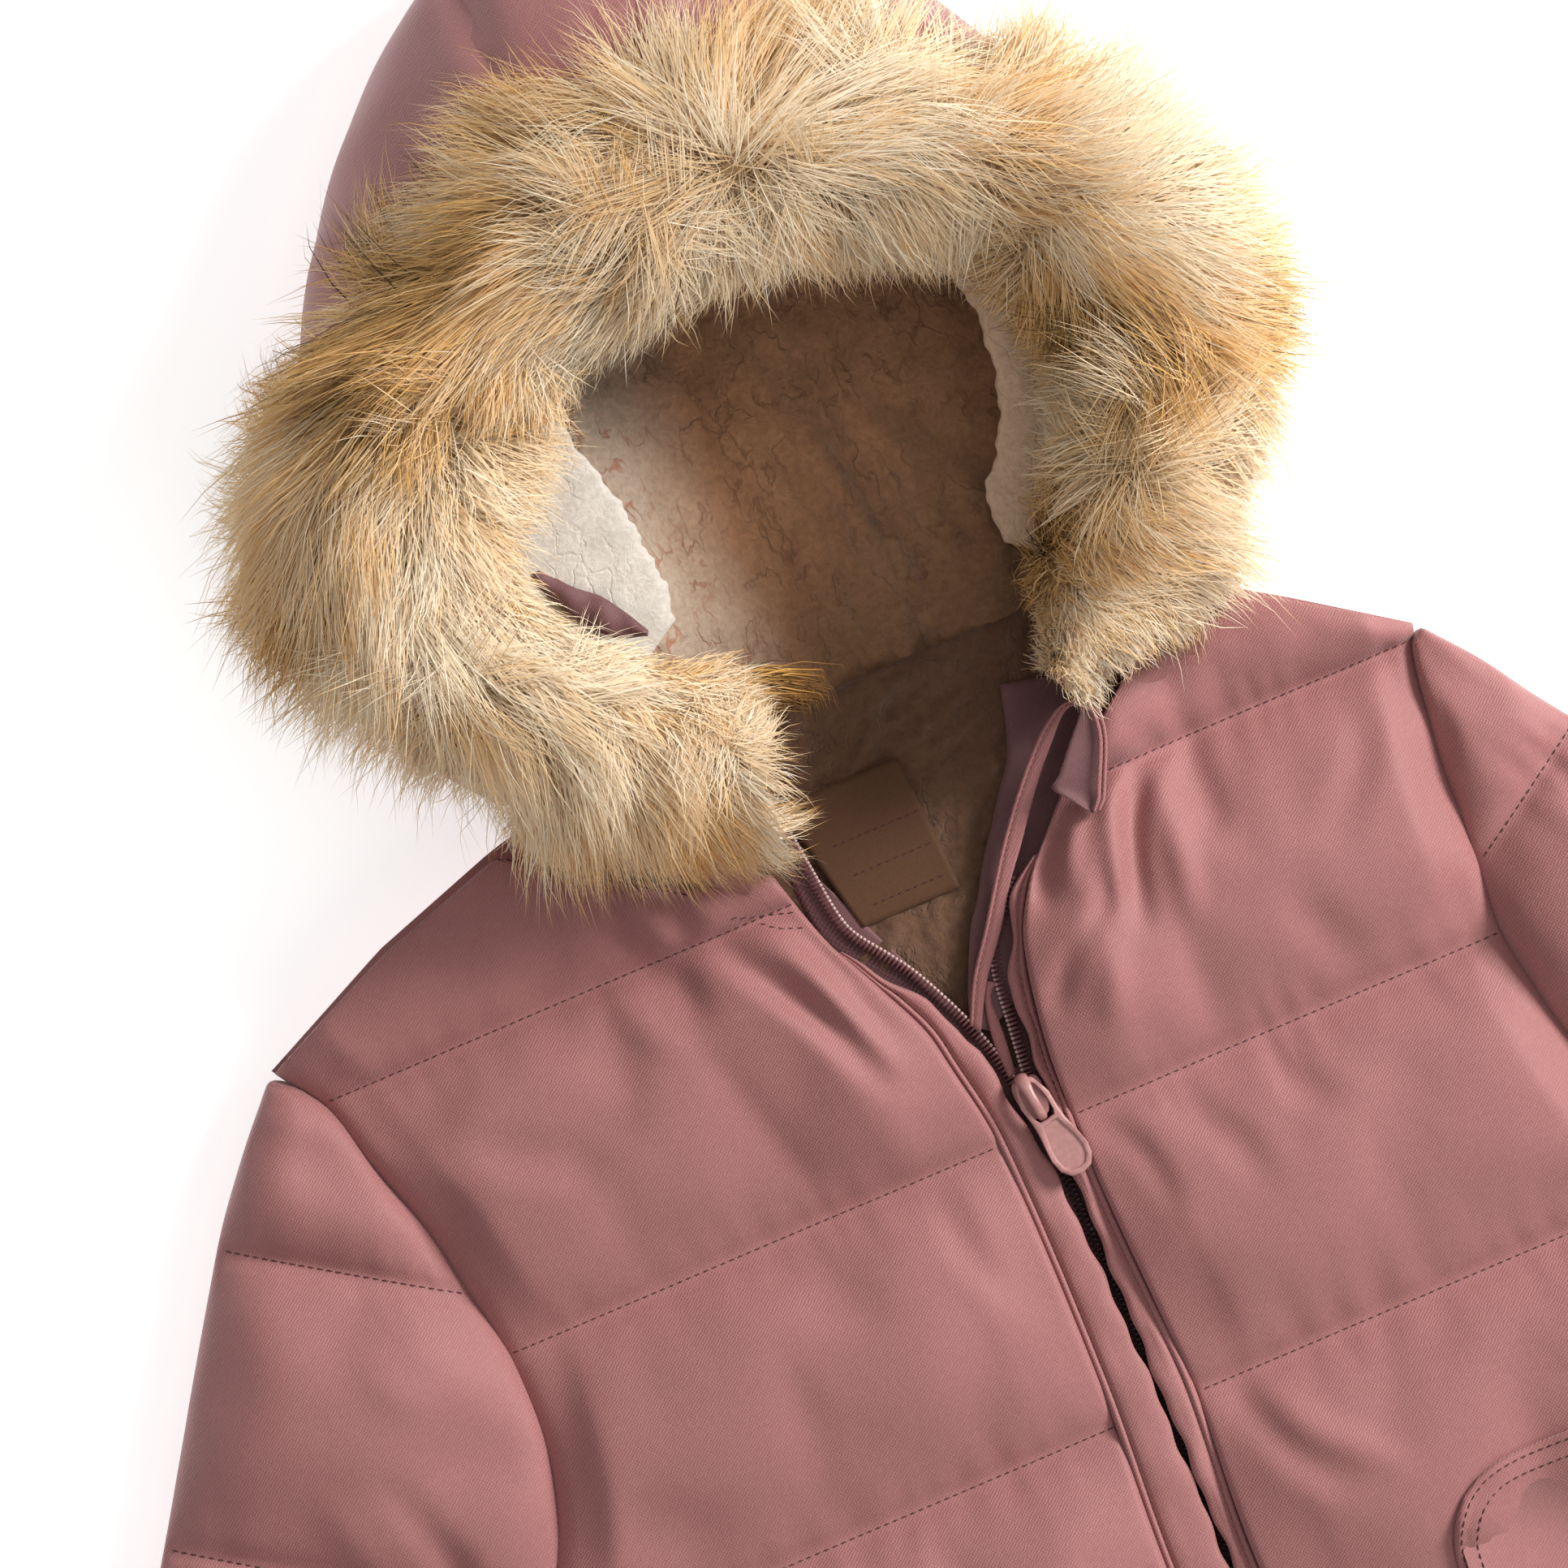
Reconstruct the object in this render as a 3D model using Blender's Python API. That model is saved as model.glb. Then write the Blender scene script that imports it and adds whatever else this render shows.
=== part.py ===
"""A child's quilted puffer jacket with a fur-edged hood, laid flat on its back.

Frame: +X is the wearer's left, +Y runs up the zip to the hood, +Z is up from the surface that
the jacket lies on.  The origin is on the back's flat underside, straight below the zip's slider.
All sizes are in millimetres and are turned into metres when a mesh is made.
"""

import math

import bmesh
import bpy
from mathutils import Vector

MM = 0.001

# ---- driving sizes, mm ----------------------------------------------------------------------
ROW = 69.7                # spacing of the quilting rows
HEM_Y = -290.0            # hem of the body
ROWS = 5                  # whole rows between the hem and the yoke seam
YOKE_Y = HEM_Y + ROWS * ROW
GAP = 0.3                 # clearance between sewn pieces
SEAM_GAP = 0.75           # clearance along the curved armholes

BACK_TOP = 9.0            # thickness of the padded back
BACK_RIM = 3.5            # how far the back's rounded rim lifts off the surface
FRONT_UNDER = BACK_TOP + GAP
FRONT_SEAM = 4.5          # padding left under a row of stitches
FRONT_PUFF = 9.5          # how much higher the padding stands between two rows
NECK_LIFT = 4.6           # the fronts ride over the neck lining beside the opening

SLEEVE_ANGLE = 33.2       # the sleeves' slope from the body's long axis, degrees
SLEEVE_TOP = 27.0
SLEEVE_MID = 12.5         # height of the flattened sleeve's side folds
SLIT = 0.9                # half height of the hollow left in a flattened sleeve

SHELL_WALL = 5.0          # hood shell with its padding
LINING_WALL = 3.6         # sherpa lining
HOOD_CENTRE = (3.0, 150.0)
RIM_LOW, RIM_HIGH = 37.0, 68.0
FUR_HEIGHT = 30.0         # how far the fur stands over the hood's edge
FUR_STAND = 1.2           # the fur's underside stands this far off the shell
FRONT_CLEAR = 31.0        # the fur's ends lie over the fronts at this height

SHELL_SEAMS = (-21.0, 29.0)     # x of the two seams beside the hood's centre strip
LINING_SEAMS = (-26.0, 19.0)

# ---- outline tables, mm ----------------------------------------------------------------------
# armhole seam from the shoulder point to the underarm: x, y
ARMHOLE = {
    "right": [(-158, 70), (-150.5, 58.5), (-146, 42), (-140, 23), (-136.5, 6), (-134, -14),
              (-134, -29), (-136, -42), (-141, -57), (-151, -74), (-164, -94)],
    "left": [(124, 62), (121.8, 54), (120, 44), (118, 30), (116.7, 10), (116, -10),
             (118, -28), (121, -42), (125, -57), (132, -75), (142, -94)],
}
# side seam below the underarm: y, x
SIDE_SEAM = {
    "right": [(-94, -164), (-150, -165), (-220, -163), (-290, -160)],
    "left": [(-94, 142), (-150, 144), (-220, 142), (-290, 139)],
}
# inner edge of each front beside the zip's edge strip: y, x
FRONT_EDGE = {
    "right": [(-290, -13), (-200, -13.5), (-115, -13), (-70, -10.5), (-10, -10.5), (11, -13.5),
              (31, -21), (45, -28), (53, -35), (58.5, -41)],
    "left": [(-290, 7.5), (-200, 6.5), (-118, 6), (-79, 8.5), (-61, 8), (-29, 7), (-8, 7),
             (5, 9), (16, 11.5), (30, 15.5), (43, 22), (58.5, 38)],
}
# top of each front from the shoulder point over the neck point to the opening: x, y
FRONT_TOP = {
    "right": [(-158, 70), (-124, 86), (-91, 97), (-70, 84), (-52, 70), (-42, 60.2)],
    "left": [(124, 62), (101, 78), (78, 93), (66, 85), (55, 76), (40, 60.8)],
}
BACK_NECK = [(-80, 99.4), (74, 99.4)]
HOOD_NECK = [(-74.0, 99.8), (70.0, 99.8)]     # corners of the hood's floor at the neck seam
# the zip's coils: right from the slider to the hood's edge, left likewise: x, y, z of the tape
ZIP_LINE = {
    "right": [(-3.2, 0, 13.2), (-8, 13, 13.3), (-16, 28, 13.3), (-24, 45, 13.3), (-28.5, 62, 18),
              (-29.5, 76, 27)],
    "left": [(1.2, 2, 13.2), (3, 17, 13.3), (8, 33, 13.8), (16, 46, 14.8), (29, 60, 17.5),
             (36, 66, 19.5)],
}
# the sleeves' free edges in the sleeve's own axes: along, outer edge, inner edge
SLEEVE_EDGES = {
    "right": [(28, -170.4, -170), (49, -173.5, -141), (70, -175.5, -118), (139, -175.5, -86),
              (172, -176, -86), (240, -176, -86), (300, -175, -87), (333, -173, -86)],
    "left": [(16, -137.7, -137), (34, -139.2, -120), (60, -140, -100), (130, -146, -67),
             (156, -148, -66), (240, -150, -65), (290, -150, -64), (322, -148, -63)],
}
SLEEVE_ROWS = {"right": 70.0, "left": 59.0}      # first quilting row along each sleeve
# the hood round its centre: angle, shell outline, front edge, fur's inner and outer reach,
# height of the shell's lower edge
HOOD = [
    (-60, 89.0, 80.0, 64.0, 91.0, 24.0),
    (-45, 90.0, 74.0, 52.0, 101.0, 22.0),
    (-30, 101.0, 70.0, 54.0, 110.0, 0.0),
    (-12, 107.0, 72.0, 61.0, 122.0, 0.0),
    (6, 110.0, 72.0, 62.0, 131.0, 0.0),
    (24, 109.0, 68.0, 60.0, 128.0, 0.0),
    (42, 110.0, 61.0, 50.0, 114.0, 0.0),
    (60, 122.0, 54.0, 41.0, 108.0, 0.0),
    (76, 137.0, 50.0, 37.0, 107.0, 0.0),
    (90, 145.0, 49.0, 36.0, 107.0, 0.0),
    (104, 138.0, 51.0, 37.0, 106.0, 0.0),
    (117, 128.0, 54.0, 40.0, 104.0, 0.0),
    (130, 119.0, 58.0, 45.0, 110.0, 0.0),
    (143, 113.0, 63.0, 51.0, 122.0, 0.0),
    (156, 110.0, 67.0, 57.0, 130.0, 0.0),
    (172, 110.0, 71.0, 60.0, 132.0, 0.0),
    (190, 108.0, 70.0, 54.0, 116.0, 0.0),
    (208, 100.0, 68.0, 47.0, 104.0, 0.0),
    (228, 96.5, 70.0, 40.0, 92.0, 22.0),
    (244, 98.0, 77.0, 50.0, 92.0, 24.0),
]
# the band of lining that turns in under the hood's edge: angle, inner reach
BAND = [(-16, 63), (0, 57), (20, 57), (40, 54), (60, 47), (90, 43), (120, 47), (140, 50),
        (155, 48), (175, 44), (190, 46), (202, 56)]
STRIP_TOP = {"right": 45.0, "left": 31.0}     # where each edge strip ends under the hood or guard
# slider, pull and pocket
SLIDER_SIZE = (8.6, 12.5)
CROSSBAR_Z = 19.6         # height of the pull's crossbar
SLIDER_TURN = 3.0         # the slider and its pull lean to the wearer's left, degrees
TAB_TURN = 11.0
TAB_LENGTH, TAB_WIDTH, TAB_THICK = 24.5, 9.4, 2.0
WINDOW = (2.2, -0.9, -8.8)      # the pull's slot: half width, first and last y
BRIDGE_HALF, BRIDGE_TOP = 4.2, 22.2
POCKET_TOP, POCKET_BASE = -121.0, -211.0
POCKET_X = {"right": (-146.0, -68.0), "left": (48.0, 126.0)}
POCKET_RADIUS = 20.0
POCKET_THICK = 2.6
# the guard behind the left zip, from the slider to its folded end: left x, y, right x, y, height
GUARD = [(-4.0, 14.5, 0.6, 12.5, 14.6), (0.4, 32.5, 6.6, 30.5, 16.6), (7.5, 44.0, 13.5, 40.5, 18.6),
         (17.0, 54.5, 22.5, 49.5, 21.0), (29.0, 67.0, 35.5, 61.0, 25.0), (37.5, 75.0, 46.5, 70.5, 27.6),
         (38.8, 76.2, 48.6, 72.0, 28.6), (38.0, 74.8, 48.2, 69.5, 29.9), (36.0, 66.0, 46.0, 61.0, 29.5),
         (33.0, 57.5, 42.0, 51.5, 28.6)]
# the largest folds in the fronts: x, y at one end, x, y at the other, half width, height
FOLDS = [(-52, 62, -16, 8, 7, -3.0), (-40, 56, -14, 2, 6, 2.0), (40, 57, 24, 26, 5, 2.5),
         (34, 57, 18, 20, 4, -2.5), (56, 60, 42, 18, 6, -2.5), (64, 58, 52, 22, 7, 2.0)]


# ---- small tools -----------------------------------------------------------------------------
def make_material(name, colour, roughness, metallic=0.0):
    """One Principled material."""
    material = bpy.data.materials.new(name)
    material.use_nodes = True
    shader = material.node_tree.nodes["Principled BSDF"]
    shader.inputs["Base Color"].default_value = (*colour, 1.0)
    shader.inputs["Roughness"].default_value = roughness
    shader.inputs["Metallic"].default_value = metallic
    return material


def curve_value(table, x, column=1):
    """A smooth curve through a table's rows, read at x in its first column."""
    last = len(table) - 1
    if x <= table[0][0]:
        return table[0][column]
    if x >= table[last][0]:
        return table[last][column]
    k = max(i for i in range(last) if table[i][0] <= x)

    def slope(i):
        low, high = max(i - 1, 0), min(i + 1, last)
        return (table[high][column] - table[low][column]) / (table[high][0] - table[low][0])

    span = table[k + 1][0] - table[k][0]
    f = (x - table[k][0]) / span
    start, end = table[k][column], table[k + 1][column]
    return ((2 * f ** 3 - 3 * f ** 2 + 1) * start + (f ** 3 - 2 * f ** 2 + f) * span * slope(k)
            + (3 * f ** 2 - 2 * f ** 3) * end + (f ** 3 - f ** 2) * span * slope(k + 1))


def path_point(points, fraction):
    """The point at a fraction of a polyline's length."""
    steps = [math.dist(a, b) for a, b in zip(points, points[1:])]
    left = fraction * sum(steps)
    for start, end, step in zip(points, points[1:], steps):
        if left <= step or end is points[-1]:
            f = min(left / step, 1.0)
            return tuple(a + f * (b - a) for a, b in zip(start, end))
        left -= step
    return points[-1]


def smooth_path(points, count):
    """count points along a smooth curve through a short list, evenly parted."""
    keys = [(i, *p) for i, p in enumerate(points)]
    fine = [tuple(curve_value(keys, i * (len(points) - 1) / 60, c + 1) for c in range(len(points[0])))
            for i in range(61)]
    return [path_point(fine, i / (count - 1)) for i in range(count)]


def dome(f, power=0.6):
    """0 at both ends and 1 in the middle."""
    return max(0.0, math.sin(math.pi * min(max(f, 0.0), 1.0))) ** power


def add_object(name, points, faces, material, flat=False):
    """One mesh object from points in mm, with its faces turned outwards."""
    bm = bmesh.new()
    verts = [bm.verts.new([c * MM for c in p]) for p in points]
    for face in faces:
        bm.faces.new([verts[i] for i in face])
    bmesh.ops.recalc_face_normals(bm, faces=bm.faces)
    if bm.calc_volume(signed=True) < 0:
        bmesh.ops.reverse_faces(bm, faces=bm.faces)
    mesh = bpy.data.meshes.new(name)
    bm.to_mesh(mesh)
    bm.free()
    if not flat:
        mesh.shade_smooth()
        mesh.set_sharp_from_angle(angle=math.radians(50))
    mesh.materials.append(material)
    obj = bpy.data.objects.new(name, mesh)
    bpy.context.scene.collection.objects.link(obj)
    return obj


def layer_solid(name, over, under, material):
    """The closed solid between an upper and a lower grid of points."""
    rows, cols = len(over), len(over[0])
    points = [p for row in over for p in row] + [p for row in under for p in row]

    def at(layer, i, j):
        return layer * rows * cols + i * cols + j

    faces = []
    for i in range(rows - 1):
        for j in range(cols - 1):
            for layer in (0, 1):
                faces.append([at(layer, i, j), at(layer, i + 1, j), at(layer, i + 1, j + 1),
                              at(layer, i, j + 1)])
    rim = ([(i, 0) for i in range(rows)] + [(rows - 1, j) for j in range(1, cols)]
           + [(i, cols - 1) for i in range(rows - 2, -1, -1)] + [(0, j) for j in range(cols - 2, 0, -1)])
    for (i, j), (k, l) in zip(rim, rim[1:] + rim[:1]):
        faces.append([at(0, i, j), at(0, k, l), at(1, k, l), at(1, i, j)])
    return add_object(name, points, faces, material)


def ring_solid(name, rings, material):
    """A closed solid through rings of the same count, its two ends filled."""
    count = len(rings[0])
    points = [p for ring in rings for p in ring]
    faces = []
    for k in range(len(rings) - 1):
        for j in range(count):
            n = (j + 1) % count
            faces.append([k * count + j, k * count + n, (k + 1) * count + n, (k + 1) * count + j])
    faces.append(list(range(count)))
    faces.append([(len(rings) - 1) * count + j for j in range(count)])
    return add_object(name, points, faces, material)


def ribbon(name, centre, width, thick, material, across=None):
    """A strip of cloth along centre points: width and thickness in mm."""
    over, under = [], []
    for i, p in enumerate(centre):
        before, after = centre[max(i - 1, 0)], centre[min(i + 1, len(centre) - 1)]
        along = Vector(after) - Vector(before)
        side = Vector(across) if across else Vector((-along.y, along.x, 0.0))
        side.normalize()
        up = along.cross(side).normalized()
        if up.z < 0 and not across:
            up = -up
        w = width[i] if isinstance(width, (list, tuple)) else width
        c = Vector(p)
        over.append([tuple(c + side * w * f + up * thick / 2) for f in (-0.5, -0.17, 0.17, 0.5)])
        under.append([tuple(c + side * w * f - up * thick / 2) for f in (-0.5, -0.17, 0.17, 0.5)])
    return layer_solid(name, over, under, material)


# ---- body panels -----------------------------------------------------------------------------
ROW_STOPS = (0.0, 0.08, 0.26, 0.5, 0.74, 0.92)
BODY_STOPS = [r + f for r in range(ROWS) for f in ROW_STOPS]
YOKE_STOPS = (0.0, 0.12, 0.4, 0.75, 1.0)


def outer_x(side, y):
    """The body's outer edge at height y: side seam, then armhole."""
    armhole = sorted((py, px) for px, py in ARMHOLE[side])
    if y <= armhole[0][0]:
        return curve_value(sorted(SIDE_SEAM[side]), y)
    return curve_value(armhole, y)


def front_point(side, v, t):
    """Plan of a front: v counts rows from the hem, t runs from the outer edge to the zip."""
    if v <= ROWS:
        y = HEM_Y + v * ROW
        x0, x1 = outer_x(side, y), curve_value(FRONT_EDGE[side], y)
        return x0 + (x1 - x0) * t, y
    x0, x1 = outer_x(side, YOKE_Y), curve_value(FRONT_EDGE[side], YOKE_Y)
    low = (x0 + (x1 - x0) * t, YOKE_Y)
    high = path_point(FRONT_TOP[side], t)
    f = v - ROWS
    return low[0] + (high[0] - low[0]) * f, low[1] + (high[1] - low[1]) * f


def fold_height(x, y):
    """Height that the folds add at a plan point."""
    total = 0.0
    for x0, y0, x1, y1, half, height in FOLDS:
        length = math.dist((x0, y0), (x1, y1))
        f = ((x - x0) * (x1 - x0) + (y - y0) * (y1 - y0)) / length ** 2
        off = abs((x - x0) * (y1 - y0) - (y - y0) * (x1 - x0)) / length
        if 0.0 < f < 1.0 and off < half:
            total += height * math.sin(math.pi * f) * math.cos(math.pi * off / half / 2) ** 2
    return total


def front_top(v, t):
    """Upper face of a front: raised between the rows, thin at the side seam and shoulder."""
    f = v - math.floor(v) if v < ROWS else (v - ROWS) * 0.72
    edge = min(1.0, 0.35 + t / 0.10 * 0.65) * min(1.0, 0.72 + (1.0 - t) / 0.12 * 0.28)
    thin = 0.5 if (t == 0.0 or v == 0.0) else 1.0
    return FRONT_UNDER + thin * FRONT_SEAM + FRONT_PUFF * dome(f) * edge


def front_lift(side, v, t):
    """How far a front's underside stands off the back beside the neck opening."""
    near = max(0.0, 1.0 - (1.0 - t) / 0.35)
    return NECK_LIFT * min(near * 2.0, 1.0) * min(max((v - 3.9) / 0.3, 0.0), 1.0)


def make_front(side, material):
    across = (0.0, 0.03, 0.1, 0.24, 0.42, 0.6, 0.78, 0.9, 0.965, 1.0)
    stops = BODY_STOPS + [ROWS + f for f in YOKE_STOPS]
    over, under = [], []
    for v in stops:
        top_row, low_row = [], []
        for t in across:
            x, y = front_point(side, v, t)
            lift = front_lift(side, v, t)
            top_row.append((x, y, front_top(v, t) + lift + (fold_height(x, y) if v > 3.9 else 0.0)))
            low_row.append((x, y, FRONT_UNDER + lift))
        over.append(top_row)
        under.append(low_row)
    return layer_solid(f"front_{side}", over, under, material)


def back_point(v, t):
    """Plan of the back: t runs from the wearer's right to left."""
    if v <= ROWS:
        y = HEM_Y + v * ROW
        x0, x1 = outer_x("right", y), outer_x("left", y)
        return x0 + (x1 - x0) * t, y
    top = FRONT_TOP["right"][:3] + BACK_NECK + FRONT_TOP["left"][2::-1]
    x0, x1 = outer_x("right", YOKE_Y), outer_x("left", YOKE_Y)
    low = (x0 + (x1 - x0) * t, YOKE_Y)
    high = path_point(top, t)
    f = v - ROWS
    return low[0] + (high[0] - low[0]) * f, low[1] + (high[1] - low[1]) * f


def make_back(material):
    across = (0.0, 0.025, 0.12, 0.24, 0.26, 0.28, 0.5, 0.72, 0.74, 0.76, 0.88, 0.975, 1.0)
    stops = [0.0, 0.1, 1.0, 2.0] + [2.6 + 0.15 * i for i in range(17)] + [ROWS + 0.5, ROWS + 0.85,
                                                                        ROWS + 1.0]
    over, under = [], []
    for v in stops:
        edge_row = v in (stops[0], stops[-1])
        over.append([(*back_point(v, t), BACK_TOP) for t in across])
        under.append([(*back_point(v, t), BACK_RIM if edge_row or t in (0.0, 1.0) else 0.0)
                      for t in across])
    return layer_solid("back", over, under, material)


# ---- sleeves -----------------------------------------------------------------------------------
def sleeve_axes(side):
    """Unit vectors along a sleeve and across it towards the body."""
    hand = -1.0 if side == "right" else 1.0
    a = math.radians(SLEEVE_ANGLE)
    return (hand * math.sin(a), -math.cos(a)), (-hand * math.cos(a), -math.sin(a))


def sleeve_inner(side, along):
    """The sleeve's edge beside the body: the armhole seam, then its own free edge."""
    axis, cross = sleeve_axes(side)
    seam = [(x * axis[0] + y * axis[1], x * cross[0] + y * cross[1]) for x, y in ARMHOLE[side]]
    if along <= seam[-1][0]:
        return curve_value(seam, along) - SEAM_GAP
    end = curve_value(seam, seam[-1][0]) - SEAM_GAP
    f = min((along - seam[-1][0]) / 25.0, 1.0)
    return end + (curve_value(SLEEVE_EDGES[side], along, 2) - end) * f


def make_sleeve(side, material):
    """A flattened tube: sections across the sleeve from the shoulder point to the cuff."""
    axis, cross = sleeve_axes(side)
    start, cuff = SLEEVE_EDGES[side][0][0] + 3.0, SLEEVE_EDGES[side][-1][0]
    seam_end = ARMHOLE[side][-1][0] * axis[0] + ARMHOLE[side][-1][1] * axis[1]
    first = SLEEVE_ROWS[side]
    stops = {start, cuff, seam_end}
    a = start + 9.0
    while a < seam_end - 6.0:
        stops.add(a)
        a += 11.0
    row = first
    while row < cuff - 10.0:
        for f in ROW_STOPS:
            if row + f * ROW < cuff - 6.0:
                stops.add(row + f * ROW)
        row += ROW
    stops = sorted(stops)
    stops = [s for i, s in enumerate(stops) if i == 0 or s - stops[i - 1] > 3.0]
    across = (0.0, 0.04, 0.14, 0.32, 0.5, 0.68, 0.86, 0.96, 1.0)
    hollow_from = max(s for s in stops if s < seam_end + 8.0)
    outer_rings, inner_rings = [], []
    for s in stops:
        c0, c1 = curve_value(SLEEVE_EDGES[side], s, 1), sleeve_inner(side, s)
        f = ((s - first) / ROW) % 1.0
        if s < first:
            f = 1.0 - (first - s) / (first - start) * 0.8
        high = SLEEVE_TOP - FRONT_PUFF + FRONT_PUFF * dome(f)
        if s in (stops[0], stops[-1]):
            high = SLEEVE_MID + 5.0
        narrow = min((c1 - c0) / 60.0, 1.0)
        high = SLEEVE_MID + 3.0 + (high - SLEEVE_MID - 3.0) * (0.4 + 0.6 * narrow)
        upper, lower = [], []
        for t in across:
            bulge = (1.0 - abs(2 * t - 1.0) ** 3.2)
            c = c0 + (c1 - c0) * t
            x, y = s * axis[0] + c * cross[0], s * axis[1] + c * cross[1]
            upper.append((x, y, SLEEVE_MID + 2.0 + (high - SLEEVE_MID - 2.0) * bulge ** 0.6))
            rest = min(1.0, bulge / 0.35)
            lower.append((x, y, (SLEEVE_MID - 3.5) * (1.0 - rest) ** 1.5))
        outer_rings.append(upper + lower[::-1])
        if s >= hollow_from:
            low, high_slit = [], []
            for t in (0.12, 0.16, 0.24, 0.36, 0.5, 0.64, 0.76, 0.84, 0.88):
                c = c0 + (c1 - c0) * t
                x, y = s * axis[0] + c * cross[0], s * axis[1] + c * cross[1]
                high_slit.append((x, y, SLEEVE_MID + SLIT))
                low.append((x, y, SLEEVE_MID - SLIT))
            inner_rings.append(high_slit + low[::-1])
    return tube_with_slit(f"sleeve_{side}", outer_rings, inner_rings, material)


def tube_with_slit(name, outer_rings, inner_rings, material):
    """A solid through the outer rings with a hollow that opens at the last ring."""
    count = len(outer_rings[0])
    points = [p for ring in outer_rings for p in ring]
    base = len(points)
    points += [p for ring in inner_rings for p in ring]
    faces = []
    for offset, rings in ((0, outer_rings), (base, inner_rings)):
        for k in range(len(rings) - 1):
            for j in range(count):
                n = (j + 1) % count
                quad = [offset + k * count + j, offset + k * count + n,
                        offset + (k + 1) * count + n, offset + (k + 1) * count + j]
                faces.append(quad)
    faces.append(list(range(count)))
    faces.append([base + j for j in range(count)])
    last_outer, last_inner = (len(outer_rings) - 1) * count, base + (len(inner_rings) - 1) * count
    for j in range(count):
        n = (j + 1) % count
        faces.append([last_outer + j, last_outer + n, last_inner + n, last_inner + j])
    return add_object(name, points, faces, material)


# ---- hood ----------------------------------------------------------------------------------------
CHEEK_FOOT = 14.0         # lowest that the hood's front ends reach over the fronts
FLOOR_STEPS, CHEEK_STEPS = 34, 4


def spaced(first, last, steps):
    return [first + (last - first) * i / steps for i in range(steps + 1)]


def hood_angles():
    """Section angles: the two front ends and, between them, the part that rests."""
    low, high = HOOD[2][0], HOOD[-3][0]
    return (spaced(HOOD[0][0], low - 2.0, CHEEK_STEPS) + spaced(low, high, FLOOR_STEPS)
            + spaced(high + 2.0, HOOD[-1][0], CHEEK_STEPS))


def hood_row(angle):
    """Shell outline, front edge, fur's inner and outer reach, lower edge's height and rim height."""
    shell, rim, fur_in, fur_out = (curve_value(HOOD, angle, c) for c in (1, 2, 3, 4))
    on_floor = HOOD[2][0] <= angle <= HOOD[-3][0]
    foot = 0.0 if on_floor else max(curve_value(HOOD, angle, 5), CHEEK_FOOT)
    rim_z = RIM_LOW + (RIM_HIGH - RIM_LOW) * (1.0 + math.sin(math.radians(angle))) / 2.0
    return shell, rim, fur_in, fur_out, foot, rim_z


def hood_section(angle):
    """The shell's outer side as (radius, height) from its lower edge to the front edge."""
    shell, rim, _, _, foot, rim_z = hood_row(angle)
    if foot > 6.0:
        return [(shell - 0.5, foot), (shell - 0.2, foot + 2.0),
                *[(shell + (rim - shell) * f, foot + (rim_z - foot) * f + 3.0 * dome(f))
                  for f in (0.25, 0.5, 0.8)], (rim, rim_z)]
    wide = shell - rim
    return [(shell - 9.0, foot), (shell - 2.0, 8.0 + foot), (shell, 22.0),
            (shell - 6.0, 39.0 + 0.06 * wide), (rim + 0.5 * wide, rim_z - 1.0 + 0.04 * wide),
            (rim, rim_z)]


def inset(section, depth):
    """A section moved to the hollow's side by depth."""
    moved = []
    for i, (r, z) in enumerate(section):
        before, after = section[max(i - 1, 0)], section[min(i + 1, len(section) - 1)]
        normals = []
        for (r0, z0), (r1, z1) in ((before, (r, z)), ((r, z), after)):
            length = math.hypot(r1 - r0, z1 - z0)
            if length > 1e-6:
                normals.append((-(z1 - z0) / length, (r1 - r0) / length))
        nr, nz = (sum(n[k] for n in normals) for k in (0, 1))
        length = math.hypot(nr, nz)
        nr, nz = nr / length, nz / length
        cosine = max(nr * normals[0][0] + nz * normals[0][1], 0.5)
        moved.append((r + nr * depth / cosine, z + nz * depth / cosine))
    return moved


def hood_place(angle, r, z):
    a = math.radians(angle)
    return HOOD_CENTRE[0] + r * math.cos(a), HOOD_CENTRE[1] + r * math.sin(a), z


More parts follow.
